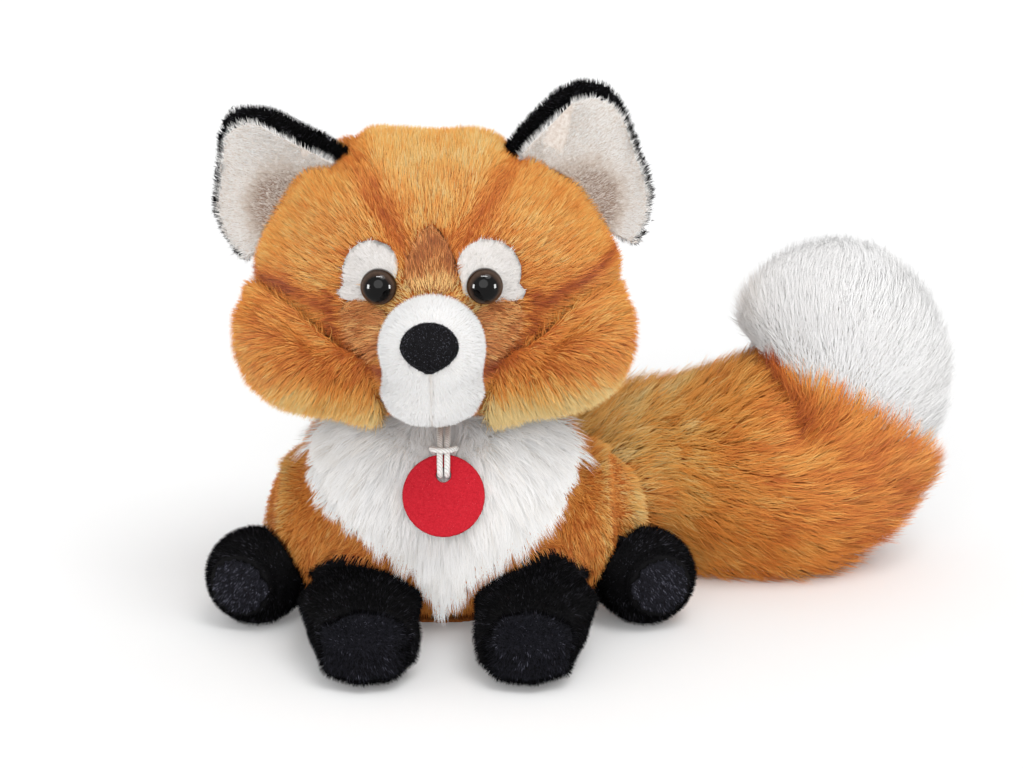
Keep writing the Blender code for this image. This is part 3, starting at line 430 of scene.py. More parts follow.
ORANGES = shades((0.0, 170, 74, 24), (0.3, 226, 124, 46), (0.55, 250, 164, 72), (0.8, 255, 200, 112),
                 (1.0, 255, 224, 156))
BROWNS = shades((0.0, 112, 60, 34), (0.35, 190, 108, 56), (0.65, 236, 154, 84), (1.0, 255, 208, 134))
WHITES = shades((0.0, 214, 184, 158), (0.25, 240, 228, 216), (0.6, 252, 250, 248), (1.0, 254, 254, 254))
BIB_WHITES = shades((0.0, 176, 152, 134), (0.3, 226, 217, 208), (0.6, 246, 243, 239), (1.0, 251, 250, 249))
PALES = shades((0.0, 212, 204, 198), (0.5, 236, 231, 227), (1.0, 250, 247, 245))
LININGS = shades((0.0, 150, 116, 94), (0.35, 218, 202, 188), (0.65, 250, 245, 240), (1.0, 254, 253, 251))
BLACKS = shades((0.0, 3, 3, 4), (0.5, 12, 11, 14), (0.8, 38, 37, 43), (1.0, 92, 91, 100))
SOLES = shades((0.0, 8, 8, 10), (0.5, 26, 26, 32), (0.8, 56, 56, 66), (1.0, 110, 110, 124))
FLEECES = shades((0.0, 6, 6, 7), (0.5, 33, 32, 37), (0.8, 64, 64, 74), (1.0, 112, 112, 124))
REDS = shades((0.0, 160, 16, 30), (0.5, 204, 46, 58), (1.0, 238, 120, 126))
WARM = linear(255, 196, 128)

FINISHES = {
    "orange": pile_material("orange_pile", ORANGES, root=0.62, sheen=0.16, tint=WARM),
    "brown": pile_material("brown_pile", BROWNS, root=0.72, sheen=0.14, tint=WARM),
    "white": pile_material("white_pile", WHITES, root=0.96, sheen=0.5),
    "bib": pile_material("bib_pile", BIB_WHITES, root=0.72, sheen=0.4),
    "pale": pile_material("pale_pile", PALES, root=0.92),
    "lining": pile_material("lining_pile", LININGS, root=0.94, sheen=0.4),
    "velour": pile_material("velour_pile", WHITES, root=0.94),
    "black": pile_material("black_pile", BLACKS, root=0.5, roughness=0.7, sheen=0.0, specular=0.03),
    "sole": pile_material("sole_pile", SOLES, root=0.6, roughness=0.7, sheen=0.0, specular=0.03),
    "fleece": pile_material("fleece_pile", FLEECES, root=0.6, roughness=0.8, sheen=0.0, specular=0.03),
    "felt": pile_material("felt_pile", REDS, root=0.8, roughness=0.85, sheen=0.0, specular=0.1),
}
CLOTHS = {
    "orange": cloth_material("orange_backing", (150, 74, 30), (200, 112, 50), 0.0016, 0.5),
    "brown": cloth_material("brown_backing", (128, 80, 48), (184, 124, 76), 0.0014, 0.5),
    "white": cloth_material("white_backing", (226, 216, 206), (246, 242, 238), 0.0016, 0.4),
    "pale": cloth_material("pale_backing", (216, 210, 204), (238, 234, 231), 0.0012, 0.4),
    "lining": cloth_material("lining_backing", (206, 190, 176), (242, 236, 230), 0.0012, 0.4),
    "velour": cloth_material("velour_cloth", (238, 235, 232), (250, 248, 246), 0.0009, 0.35),
    "black": cloth_material("black_backing", (4, 4, 5), (12, 11, 13), 0.0012, 0.5),
    "sole": cloth_material("sole_cloth", (14, 14, 18), (30, 30, 38), 0.0010, 0.5),
    "fleece": cloth_material("fleece_cloth", (6, 6, 7), (20, 19, 23), 0.0009, 0.9),
    "felt": cloth_material("felt_cloth", (176, 18, 34), (204, 38, 52), 0.0007, 0.6),
    "seat": cloth_material("seat_weave", (150, 84, 36), (186, 112, 54), 0.0010, 0.6, weave=0.0009),
    "bag": cloth_material("bag_weave", (196, 190, 180), (222, 217, 208), 0.0012, 0.6, weave=0.0008),
}


# Skins


def link(obj):
    bpy.context.scene.collection.objects.link(obj)
    return obj


def joined(nodes, cuts=0):
    """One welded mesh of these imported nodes, with each edge divided by this many cuts."""
    bm = bmesh.new()
    for name in nodes:
        bm.from_mesh(NODES[name].data)
    bmesh.ops.remove_doubles(bm, verts=bm.verts, dist=1e-5)
    if cuts:
        bmesh.ops.subdivide_edges(bm, edges=bm.edges, cuts=cuts, use_grid_fill=True)
    mesh = bpy.data.meshes.new("joined")
    bm.to_mesh(mesh)
    bm.free()
    return mesh


def mesh_tree(meshes):
    """A search tree over these meshes' faces."""
    verts, faces = [], []
    for mesh in meshes:
        first = len(verts)
        verts += [v.co.copy() for v in mesh.vertices]
        faces += [[first + i for i in p.vertices] for p in mesh.polygons]
    return BVHTree.FromPolygons(verts, faces)


def tree_of(*nodes):
    return mesh_tree([NODES[name].data for name in nodes])


def skin_tree(*objs):
    return mesh_tree([obj.data for obj in objs])


def others(*mine):
    """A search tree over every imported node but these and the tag's, which only hang in front."""
    leave = {*mine, "tag_disc", "tag_cord", "pellet_bag"}
    return tree_of(*[name for name in NODES if name not in leave])


def distances(tree, points, most):
    found = np.full(len(points), most)
    for i, point in enumerate(points):
        hit = tree.find_nearest(Vector(point), most)
        if hit[3] is not None:
            found[i] = hit[3]
    return found


def read_vectors(items, field):
    values = np.empty(len(items) * 3, np.float32)
    items.foreach_get(field, values)
    return values.reshape(-1, 3).astype(float)


def points_of(mesh):
    return read_vectors(mesh.vertices, "co")


def normals_of(mesh):
    return read_vectors(mesh.vertex_normals, "vector")


def dress(mesh, at, finish):
    """Puts the mesh's points here, and gives it its cloth."""
    mesh.vertices.foreach_set("co", at.astype(np.float32).ravel())
    mesh.update()
    mesh.shade_smooth()
    mesh.materials.clear()
    mesh.materials.append(CLOTHS[finish])


def sew_on(obj, body, finish, fill, *nodes):
    """Says which body a padded piece rides on and hides the nodes that it stands for. Its finish is not used.
    """
    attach(obj, body)
    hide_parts(*nodes)
    return obj


def skin(name, nodes, body, finish, voxel, inset=0.0, beside=(), ease=4, shape=None, fill=0.7,
         stands_for=None):
    """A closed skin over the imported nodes: remeshed, eased, and drawn in so that the pile has room."""
    obj = link(bpy.data.objects.new(name, joined(nodes)))
    remesh = obj.modifiers.new("remesh", "REMESH")
    remesh.mode = "VOXEL"
    remesh.voxel_size = voxel
    easing = obj.modifiers.new("ease", "SMOOTH")
    easing.factor = 0.5
    easing.iterations = ease
    graph = bpy.context.evaluated_depsgraph_get()
    mesh = bpy.data.meshes.new_from_object(obj.evaluated_get(graph))
    obj.modifiers.clear()
    obj.data = mesh
    mesh.name = name
    at, way = points_of(mesh), normals_of(mesh)
    if inset:
        room = np.full(len(at), inset)
        if beside:
            room = np.minimum(room, 0.65 * distances(tree_of(*beside), at, inset / 0.65))
        room = np.minimum(room, 0.65 * np.maximum(at[:, 2], 0) + 0.0002)
        at = at - way * room[:, None]
    if shape:
        at = shape(at, way)
    at[:, 2] = np.maximum(at[:, 2], FLOOR_CLEARANCE / 2)
    dress(mesh, at, finish)
    return sew_on(obj, body, finish, fill, *(stands_for or nodes))


def cut_off(mesh, point, way):
    """Takes off what lies beyond the plane, and closes the cut."""
    bm = bmesh.new()
    bm.from_mesh(mesh)
    geometry = [*bm.verts, *bm.edges, *bm.faces]
    cut = bmesh.ops.bisect_plane(bm, geom=geometry, plane_co=point, plane_no=way, clear_outer=True)
    edges = [e for e in cut["geom_cut"] if isinstance(e, bmesh.types.BMEdge)]
    bmesh.ops.holes_fill(bm, edges=edges, sides=0)
    bm.to_mesh(mesh)
    bm.free()


def cut_in_two(obj, name, node, body, finish, point, way):
    """Makes what lies beyond the plane a skin of its own, and returns that one."""
    mesh = obj.data.copy()
    mesh.name = name
    mesh.materials.clear()
    mesh.materials.append(CLOTHS[finish])
    cut_off(obj.data, point, way)
    cut_off(mesh, point, -way)
    return sew_on(link(bpy.data.objects.new(name, mesh)), body, finish, 0.7, node)


# Pile


def scatter(mesh, per_mm2, draw):
    """Root points evenly spread over the mesh, with the skin's direction there."""
    mesh.calc_loop_triangles()
    corners = np.empty(len(mesh.loop_triangles) * 3, np.int32)
    mesh.loop_triangles.foreach_get("vertices", corners)
    corners = corners.reshape(-1, 3)
    at, way = points_of(mesh), normals_of(mesh)
    a, b, c = (at[corners[:, i]] for i in range(3))
    areas = np.linalg.norm(np.cross(b - a, c - a), axis=1) / 2
    edges = np.cumsum(areas)
    count = int(edges[-1] * 1e6 * per_mm2)
    spots = (np.arange(count) + draw.uniform(size=count)) / count * edges[-1]
    chosen = np.minimum(np.searchsorted(edges, spots), len(areas) - 1)
    u, v = draw.uniform(size=(2, count))
    over = u + v > 1
    u[over], v[over] = 1 - u[over], 1 - v[over]
    shares = np.stack((1 - u - v, u, v), axis=1)
    picked = corners[chosen]
    roots = (at[picked] * shares[:, :, None]).sum(axis=1)
    return roots, unit((way[picked] * shares[:, :, None]).sum(axis=1))


def uncovered(roots, ways, cover, reach):
    """Which roots have nothing lying on them."""
    clear = np.ones(len(roots), bool)
    for tree in cover:
        for i in np.flatnonzero(clear):
            start = Vector(roots[i] + ways[i] * 1e-4)
            clear[i] = tree.ray_cast(start, Vector(ways[i]), reach)[0] is None
    return clear


def bend(roots, ways, combed, lengths, leans, segments, droop):
    """The strands' points from root to tip, one more than there are segments."""
    points = [roots - ways * ROOT_DEPTH]
    for step in range(segments):
        share = (step + 0.5) / segments
        lean = leans[0] + (leans[1] - leans[0]) * share
        heading = ways * np.cos(lean)[:, None] + combed * np.sin(lean)[:, None]
        heading[:, 2] -= droop * share
        points.append(points[-1] + unit(heading) * (lengths / segments)[:, None])
    return points


def gather(points, roots, kind, draw):
    """Leans neighbouring strands together into tufts, and says which tuft each one is in."""
    count = len(roots)
    apart = max(1, int(kind.per_mm2 * (kind.tuft / MM) ** 2))
    leaders = np.arange(0, count, apart)
    tree = KDTree(len(leaders))
    for place, leader in enumerate(leaders):
        tree.insert(Vector(roots[leader]), int(place))
    tree.balance()
    owner = np.array([tree.find(Vector(spot))[1] for spot in roots])
    leader = leaders[owner]
    for step in range(1, kind.segments + 1):
        share = step / kind.segments
        pull = kind.gather * share ** 1.2 * draw.uniform(0.6, 1.0, count)
        ahead = points[step][leader]
        points[step] = points[step] + (ahead - points[step]) * pull[:, None] * 0.8
        points[step] = points[step] + draw.normal(scale=kind.frizz * share, size=(count, 3)) * 0.6
    return owner, len(leaders)


def strand_mesh(name, points, ways, widths, tones, draw, lift):
    """Closed, tapering strands: flat blades with a low ridge that faces outward. Returns the mesh."""
    count, segments = len(widths), len(points) - 1
    along = unit(points[-1] - points[0])
    side = unit(np.cross(along, ways + draw.normal(scale=BLADE_ROLL, size=(count, 3))))
    out = np.cross(side, along)
    per_strand = 3 * segments + 1
    verts = np.empty((count, per_strand, 3), np.float32)
    facing = np.empty((count, per_strand, 3), np.float32)
    for ring in range(segments):
        girth = (widths * (1 - ring / segments) ** BLADE_TAPER / 2)[:, None]
        for corner, (across, up) in enumerate(BLADE_CORNERS):
            verts[:, ring * 3 + corner] = points[ring] + (side * across + out * up) * girth
            facing[:, ring * 3 + corner] = ways + out * 0.7 + side * across * 0.5
    verts[:, -1] = points[-1]
    facing[:, -1] = ways + out * 0.7
    verts[:, :, 2] = np.maximum(verts[:, :, 2], FLOOR_CLEARANCE)
    loops, sizes, heights = [0, 2, 1], [3], [0, 0, 0]
    for ring in range(segments):
        low, high = ring * 3, ring * 3 + 3
        for corner in range(3):
            after = (corner + 1) % 3
            if ring == segments - 1:
                loops += [low + corner, low + after, high]
                sizes.append(3)
                heights += [ring, ring, ring + 1]
            else:
                loops += [low + corner, low + after, high + after, high + corner]
                sizes.append(4)
                heights += [ring, ring, ring + 1, ring + 1]
    firsts = np.arange(count, dtype=np.int64)[:, None] * per_strand
    all_loops = (np.array(loops)[None, :] + firsts).astype(np.int32)
    all_sizes = np.tile(np.array(sizes, np.int32), count)
    starts = np.concatenate(([0], np.cumsum(all_sizes)[:-1])).astype(np.int32)
    mesh = bpy.data.meshes.new(name)
    mesh.vertices.add(count * per_strand)
    mesh.vertices.foreach_set("co", verts.ravel())
    mesh.loops.add(all_loops.size)
    mesh.loops.foreach_set("vertex_index", all_loops.ravel())
    mesh.polygons.add(len(all_sizes))
    mesh.polygons.foreach_set("loop_start", starts)
    places = np.empty((count, len(loops), 2), np.float32)
    places[:, :, 0] = np.clip(tones, 0.01, 0.99)[:, None]
    places[:, :, 1] = np.array(heights, np.float32)[None, :] / segments
    mesh.uv_layers.new(name="OFBake").data.foreach_set("uv", places.ravel())
    mesh.update(calc_edges=True)
    mesh.shade_smooth()
    # Lifted normals light the pile as softly as real translucent hair
    lifted = unit(facing.reshape(-1, 3).astype(float)) + lift
    mesh.normals_split_custom_set_from_vertices(unit(lifted))
    return mesh


def grow(name, body, finish, pile, obj, comb, shade, cover=(), reach=0.006, length=None, droop=0.0,
         keep=None, near=None, near_share=0.55, near_reach=0.005, press=None, shadows=True):
    """Pile on a skin, split into pieces that aren't too large."""
    draw = np.random.default_rng(sum(ord(letter) * (place + 1) for place, letter in enumerate(name)))
    kind = PILES[pile]
    roots, ways = scatter(obj.data, kind.per_mm2, draw)
    chosen = (roots[:, 2] > 0.0012) | (ways[:, 2] > -0.3)
    if keep is not None:
        chosen &= keep(roots, ways)
    roots, ways = roots[chosen], ways[chosen]
    clear = uncovered(roots, ways, cover, reach)
    roots, ways = roots[clear], ways[clear]
    count = len(roots)
    way = comb(roots, ways)
    flat = way - ways * (way * ways).sum(axis=1, keepdims=True)
    combed = unit(unit(flat) + draw.normal(scale=0.16, size=(count, 3)))
    lengths = kind.length * draw.uniform(0.72, 1.08, count)
    if length is not None:
        lengths = lengths * length(roots, ways)
    if near is not None:
        gap = distances(near, roots, near_reach) / near_reach
        lengths = lengths * (near_share + (1 - near_share) * gap)
    leans = [np.radians(lean + draw.normal(scale=7, size=count)) for lean in kind.lean_deg]
    points = bend(roots, ways, combed, lengths, leans, kind.segments, droop)
    owner, tufts = gather(points, roots, kind, draw)
    if press is not None:
        points = [press(spots) for spots in points]
    tuft_tones = draw.normal(scale=kind.vary * 0.7, size=tufts)[owner]
    tones = shade(roots, ways) + tuft_tones + draw.normal(scale=kind.vary, size=count)
    widths = kind.width * draw.uniform(0.75, 1.2, count)
    faces = 4 if kind.segments == 1 else 6 * (kind.segments - 1) + 4
    pieces = max(1, math.ceil(count * faces / MOST_FACES))
    turn = np.arctan2(roots[:, 0] - roots[:, 0].mean(), roots[:, 1] - roots[:, 1].mean())
    lift = kind.lift * (BIB_LIFT_WAY if pile == "bib" else LIFT_WAY)
    for number, part in enumerate(np.array_split(np.argsort(turn, kind="stable"), pieces)):
        title = name if pieces == 1 else f"{name}_{number + 1}"
        mesh = strand_mesh(title, [p[part] for p in points], ways[part], widths[part], tones[part], draw,
                           lift)
        mesh.materials.append(FINISHES[finish])
        tuft = link(bpy.data.objects.new(title, mesh))
        tuft.visible_shadow = shadows
        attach(tuft, body)
    print(f"{name}: {count} strands, {count * faces} faces, {pieces} pieces")


def away_from(point, pull=(0, 0, 0)):
    return lambda at, ways: unit(at - point) + np.array(pull)


def straight(*way):
    return lambda at, ways: np.tile(way, (len(at), 1))


def unbrushed(seed):
    return lambda at, ways: np.random.default_rng(seed).normal(size=at.shape)


def even(value, spread=0.0, size=0.01, seed=1):
    return lambda at, ways: value + spread * mottle(at, size, seed)


# The head's combing, seams and shades


def round_head(at):
    """Degrees round the head: 0 straight ahead, 90 on top, 180 behind."""
    return np.degrees(np.arctan2(at[:, 2] - HEART[2], HEART[1] - at[:, 1])) % 360


def from_crown_seam(at):
    """Signed distance from the crown panel's seam, negative on the panel."""
    return np.abs(at[:, 0] - HEAD_X) - np.interp(round_head(at), CROWN_DEG, CROWN_HALF_WIDTH)


def comb_head(at, ways):
    turn = np.radians(round_head(at))
    over = columns(0.0, np.sin(turn), np.cos(turn))
    away = unit(at - FACE_POINT)
    away[:, 2] += 0.25
    behind = smooth_step(at[:, 1], -0.030, 0.020)[:, None]
    away = unit(away) * (1 - behind) + np.array((0, 0.3, -1)) * behind
    side = np.sign(at[:, 0] - HEAD_X)[:, None] * np.array((1.0, 0, 0))
    seam = from_crown_seam(at)
    close = np.exp(-np.abs(seam) / 0.006)[:, None]
    return np.where((seam < 0)[:, None], over + side * close * 0.25, away + side * close * 0.5)


def painted_crease_shade(at):
    """Painted shade: darker hair in the creases under the eyes and over the cheeks."""
    deep = np.zeros(len(at))
    for line in CREASES:
        deep = np.maximum(deep, bell(from_line(at, line), CREASE_WIDTH))
    return 0.46 * deep * (at[:, 1] < -0.02)


def shade_head(at, ways):
    turn = round_head(at)
    seam = bell(from_crown_seam(at), 0.0042) * smooth_step(turn, 12, 30)
    crown = smooth_step(at[:, 2], 0.150, 0.176) * (from_crown_seam(at) < 0.002)
    high = smooth_step(at[:, 2], 0.105, 0.150)
    ring = (1 - smooth_step(front_gap(at, MUZZLE_POINT), 0.020, 0.034)) * (turn < 60)
    # Painted shade darkens the crown's seams; painted light makes the head lighter higher up and lighter still
    # on the crown's top
    return (0.50 + 0.10 * high + 0.16 * crown - 0.38 * seam + 0.30 * ring - painted_crease_shade(at)
            + 0.07 * mottle(at, 0.016, 5))


def length_head(ears):
    """Shorter hair on the crown's seams, on the face and by the ears."""
    def length(at, ways):
        seam = bell(from_crown_seam(at), 0.004) * smooth_step(round_head(at), 15, 30)
        face = 1 - 0.40 * bell(np.linalg.norm(at - MUZZLE_POINT, axis=1), 0.022)
        by_ear = 0.5 + 0.5 * distances(ears, at, 0.012) / 0.012
        return (1 - 0.30 * seam) * face * by_ear
    return length


def shape_head(at, ways):
    """The crown's seams, its softer corners, and the hollows in front of the ears."""
    turn = round_head(at)
    on_top = smooth_step(turn, 18, 30) * (1 - smooth_step(turn, 150, 175))
    away = at - ways * (bell(from_crown_seam(at), 0.0034) * on_top * SEAM_DEPTH)[:, None]
    off = at[:, 0] - HEAD_X
    top = smooth_step(at[:, 2], 0.160, 0.172)
    for side, sign in SIDES.items():
        away[:, 2] += CROWN_CORNER[side] * bell(off * sign - 0.0265, 0.0075) * top
        bulge = bell(at[:, 2] - 0.134, 0.011) * smooth_step(off * sign, 0.036, 0.056)
        away[:, 0] += sign * TEMPLE[side] * bulge * (at[:, 1] < 0.02)
    front = 1 - smooth_step(at[:, 1], -0.014, -0.004)
    for side in SIDES:
        x, z, radius, depth = EAR_HOLLOW[side]
        hollow = depth * bell(front_gap(at, np.array((x, 0, z))), radius) * front
        root = EAR_ROOT_HOLLOW * bell(front_gap(at, EAR_PIVOT[side]), 0.017) * front
        away = away - ways * np.maximum(hollow, root)[:, None]
    return away


def comb_cheek(at, ways):
    rise = smooth_step(at[:, 2], 0.104, 0.122)[:, None]
    return unit(at - MUZZLE_POINT) + np.array((0, 0, -0.55)) * (1 - rise) + np.array((0, 0, 0.35)) * rise


def shade_cheek(at, ways):
    out = smooth_step(front_gap(at, MUZZLE_POINT), 0.02, 0.06)
    low = 1 - smooth_step(at[:, 2], 0.084, 0.108)
    left = smooth_step(at[:, 0], 0.0, 0.02)
    # The lower cheeks are lighter; the extra on the fox's left side is painted light from that side
    return (0.43 + 0.06 * out + (0.46 + 0.34 * left) * low - 0.62 * painted_crease_shade(at)
            + 0.08 * mottle(at, 0.014, 9))


def shape_cheek(at, ways):
    """The cheeks rise at their outer ends, hang down beside the chin, and sink in round the muzzle."""
    side = np.sign(at[:, 0] - HEAD_X)
    wide = np.abs(at[:, 0] - HEAD_X)
    out = smooth_step(wide, 0.034, 0.060)
    up = smooth_step(at[:, 2], 0.098, 0.118)
    inner = 1 - smooth_step(wide, 0.022, 0.040)
    low = 1 - smooth_step(at[:, 2], 0.088, 0.108)
    rim = 1 - smooth_step(front_gap(at, MUZZLE_POINT), 0.022, 0.036)
    away = at + unit(HEART - at) * (CHEEK_SINK * rim * (1 - low))[:, None]
    away[:, 2] += CHEEK_RISE * out * up - CHEEK_HANG * (0.3 + 0.7 * inner) * low
    away[:, 0] -= side * CHEEK_REACH * inner * (0.5 + 0.5 * low)
    away[:, 0] += side * CHEEK_TOP * bell(at[:, 2] - 0.114, 0.010) * smooth_step(wide, 0.044, 0.060)
    return away


def shade_tear(at, ways):
    return 0.60 - 1.3 * painted_crease_shade(at) + 0.16 * mottle(at, 0.005, 17)


def shade_blaze(at, ways):
    dark = bell(from_line(at, BLAZE_EDGE), 0.0024) * smooth_step(at[:, 2], 0.134, 0.144)
    low = 1 - smooth_step(at[:, 2], 0.1355, 0.1425)
    return 0.66 - 0.34 * dark + 0.50 * low + 0.12 * mottle(at, 0.004, 19)


def muzzle_seam(at):
    return bell(at[:, 0] - HEAD_X, SEAM_WIDTH) * (at[:, 2] < NOSE_BOTTOM + 0.002)


def shape_muzzle(at, ways):
    """The middle seam from the nose down, and a squarer, lower chin than the solid's."""
    away = at - ways * (muzzle_seam(at) * 0.0008)[:, None]
    low = 1 - smooth_step(at[:, 2], 0.0940, 0.1080)
    away[:, 0] = HEAD_X + (away[:, 0] - HEAD_X) * (1.02 + CHIN_SQUARE * low)
    away[:, 2] -= CHIN_DROP * low
    return away


def shade_muzzle(at, ways):
    return 0.86 - 0.40 * muzzle_seam(at) + 0.04 * mottle(at, 0.004, 55)


def shape_nose(at, ways):
    """Lower than the solid, with a blunt point at the bottom and a seam up the middle."""
    away = at.copy()
    low, high = at[:, 2].min(), at[:, 2].max()
    down = 1 - (at[:, 2] - low) / (high - low)
    point = smooth_step(down, 0.55, 1.0)
    away[:, 0] = NOSE_X + (at[:, 0] - HEAD_X) * (1 - 0.10 * point) * 1.04
    away[:, 2] -= NOSE_DROP + NOSE_POINT * point * bell(at[:, 0] - HEAD_X, 0.0022)
    seam = bell(at[:, 0] - HEAD_X, SEAM_WIDTH) * smooth_step(down, 0.3, 0.7)
    return away - ways * (0.0005 * seam)[:, None]


def shade_nose(at, ways):
    return 0.45 - 0.3 * bell(at[:, 0] - NOSE_X, SEAM_WIDTH) + 0.20 * mottle(at, 0.0014, 4)


def outside(at, ways):
    """Leaves out the roots on a patch's underside."""
    return (ways * unit(at - HEART)).sum(axis=1) > 0.25


def patch_skin(node, finish, under):
    """A thin sewn patch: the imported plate, divided finely and laid on the head's skin."""
    mesh = joined([node], cuts=2)
    mesh.name = node + "_skin"
    solid = tree_of("head")
    at = points_of(mesh)
    x_from, x_to, x_scale, z_from, z_to, z_scale = PATCH_FIT[node]
    heart = Vector(HEART)
    for i, spot in enumerate(at):
        out = (Vector(spot) - heart).normalized()
        packed = solid.ray_cast(heart + out * 0.12, -out)[0]
        rise = min(max((Vector(spot) - packed).dot(out), 0.0), 0.001) if packed else 0.001
        x, z = x_to + (spot[0] - x_from) * x_scale, z_to + (spot[2] - z_from) * z_scale
        out = (Vector((x, spot[1], z)) - heart).normalized()
        laid = under.ray_cast(heart + out * 0.12, -out)[0]
        if laid:
            at[i] = laid + out * (rise + PATCH_RISE)
    dress(mesh, at, finish)
    return sew_on(link(bpy.data.objects.new(node + "_skin", mesh)), "head", finish, 0.3, node)


def make_head():
    ears = ["ear_back_left", "ear_back_right", "ear_lining_left", "ear_lining_right"]
    head = skin("head_skin", ["head"], "head", "orange", 0.0015, HEAD_INSET,
                ["torso", "muzzle", "eye_left", "eye_right", *ears], shape=shape_head)
    head_tree = skin_tree(head)
    by_muzzle = tree_of("muzzle")
    patches = {}
    for node in PATCH_FIT:
        patches[node] = patch_skin(node, "pale" if node.startswith("eye") else "brown", head_tree)
    cheek_trees = {}
    for side in SIDES:
        cheek = skin("cheek_skin_" + side, ["cheek_" + side], "head", "orange", 0.0015, 0.0036,
                     ["head", "muzzle", "torso", "chest_bib"], shape=shape_cheek)
        cheek_trees[side] = skin_tree(cheek)
        grow("cheek_pile_" + side, "head", "orange", "cheek", cheek, comb_cheek, shade_cheek,
             (others("cheek_" + side, "head"),), 0.004, droop=0.25)
    cover = (others("head", "cheek_left", "cheek_right", *PATCH_FIT), skin_tree(*patches.values()),
             *cheek_trees.values())
    grow("head_pile", "head", "orange", "head", head, comb_head, shade_head, cover, 0.006,
         length_head(tree_of(*ears)), keep=lambda at, ways: at[:, 2] > 0.0825, near=by_muzzle)
    make_muzzle()
    for side in SIDES:
        eye_patch = patches["eye_patch_" + side]
        grow("eye_pile_" + side, "head", "pale", "eye_patch", eye_patch,
             away_from(FACE_POINT, (0, 0, 0.2)), even(0.62, 0.08, 0.008, 15), (tree_of("eye_" + side),),
             0.003, keep=outside)
        grow("tear_pile_" + side, "head", "brown", "brown", patches["tear_patch_" + side],
             away_from(MUZZLE_POINT, (0, 0, -0.1)), shade_tear, (cheek_trees[side], skin_tree(eye_patch)),
             0.004, keep=outside, near=by_muzzle)
    eye_patches = skin_tree(patches["eye_patch_left"], patches["eye_patch_right"])
    grow("blaze_pile", "head", "brown", "brown", patches["blaze_patch"], straight(0.0, 0.5, 1.0),
         shade_blaze, (eye_patches,), 0.003, keep=outside, near=by_muzzle)


def make_muzzle():
    muzzle = skin("muzzle_skin", ["muzzle"], "head", "velour", 0.0007, 0.0006, shape=shape_muzzle, ease=3,
                  fill=0.9)
    nose = skin("nose_skin", ["nose"], "head", "fleece", 0.0006, 0.0002, shape=shape_nose, ease=2, fill=0.9)
    grow("muzzle_pile", "head", "velour", "velour", muzzle,
         away_from(MUZZLE_POINT + np.array((0, -0.02, 0.0)), (0, 0, -0.25)), shade_muzzle,
         (skin_tree(nose),), 0.003)
    grow("nose_pile", "head", "fleece", "fleece", nose, unbrushed(8), shade_nose)


def ear_shape(side):
    """Each ear's inner end runs on to the crown's seam, and its base sinks into the pile."""
    head = tree_of("head")

    def shape(at, ways):
        near_end = bell(front_gap(at, np.array(EAR_END[side])), 0.013)
        sunk = 1 - smooth_step(distances(head, at, 0.010), 0.0, 0.010)
        toward = unit(HEART - at)
        away = at + near_end[:, None] * np.array(EAR_RUN[side]) + toward * (EAR_SINK * sunk)[:, None]
        for x, z, move_x, move_z, reach in EAR_TOP[side]:
            share = bell(front_gap(at, np.array((x, 0, z))), reach)
            away[:, 0] += move_x * share
            away[:, 2] += move_z * share
        return away

    return shape


def make_ears():
    for side in SIDES:
        body, back, lining = "ear_" + side, "ear_back_" + side, "ear_lining_" + side
        pivot = EAR_PIVOT[side]
        shape = ear_shape(side)
        backing = skin(back + "_skin", [back], body, "black", 0.0011, 0.0003, ease=2, shape=shape, fill=0.3)
        inner = skin(lining + "_skin", [lining], body, "lining", 0.0009, 0.0002, ease=2, shape=shape,
                     fill=0.3)
        way = unit(np.array(LINING_EDGE_WAY[side]))
        edge = (points_of(inner.data) @ way).max() - LINING_EDGE
        cut_off(inner.data, way * edge, way)

        def shade(at, ways, pivot=pivot):
            away = np.linalg.norm(at - pivot, axis=1)
            # Painted shade: the lining darkens towards the ear's base, in the hollow there
            return 0.08 + 0.74 * smooth_step(away, 0.010, 0.0235) + 0.04 * mottle(at, 0.01, 71)

        comb = away_from(pivot - np.array((0, 0, 0.01)))
        grow(lining + "_pile", body, "lining", "ear_lining", inner, comb, shade, (tree_of(back),), 0.002)
        grow(back + "_pile", body, "black", "ear_back", backing, comb, even(0.45), (skin_tree(inner),),
             0.0035)


# Body


def past_body_line(at, sign):
    """How far a spot is past the line where the body's side turns away, seen from the front."""
    line = np.array(BODY_LINES["left" if sign > 0 else "right"]) * MM
    return (at[:, 0] - np.interp(at[:, 2], line[:, 1], line[:, 0])) * sign


def past_body(at):
    return np.maximum(past_body_line(at, 1), past_body_line(at, -1))


def comb_torso(at, ways):
    return columns(at[:, 0] * 5, 0.1, -1.0)


def shade_body(at, ways):
    past = past_body(at)
    front = 1 - smooth_step(at[:, 1], 0.005, 0.020)
    rim = bell(past, 0.0045) * front * (past <= 0)
    fold = bell(past, 0.0055) * front * (past > 0)
    low = 1 - smooth_step(at[:, 2], 0.012, 0.050)
    beyond = smooth_step(past, -0.001, 0.001)
    by_tail = beyond * smooth_step(at[:, 0], 0.050, 0.062)
    # Painted light: a lighter rim just inside each side line and lighter haunches past it, most beside the
    # tail. Painted shadow: the fold just past the line is darker
    return (0.46 + 0.24 * beyond + 0.10 * by_tail + 0.30 * rim - 0.40 * fold - 0.06 * low * (1 - beyond)
            + 0.12 * smooth_step(at[:, 1], 0.0, 0.03) * (1 - beyond) + 0.06 * mottle(at, 0.018, 3))


def length_body(at, ways):
    past = past_body(at)
    front = 1 - smooth_step(at[:, 1], 0.005, 0.020)
    return 1 - 0.60 * front * (past > -0.0005) * (1 - smooth_step(past, 0.003, 0.009))


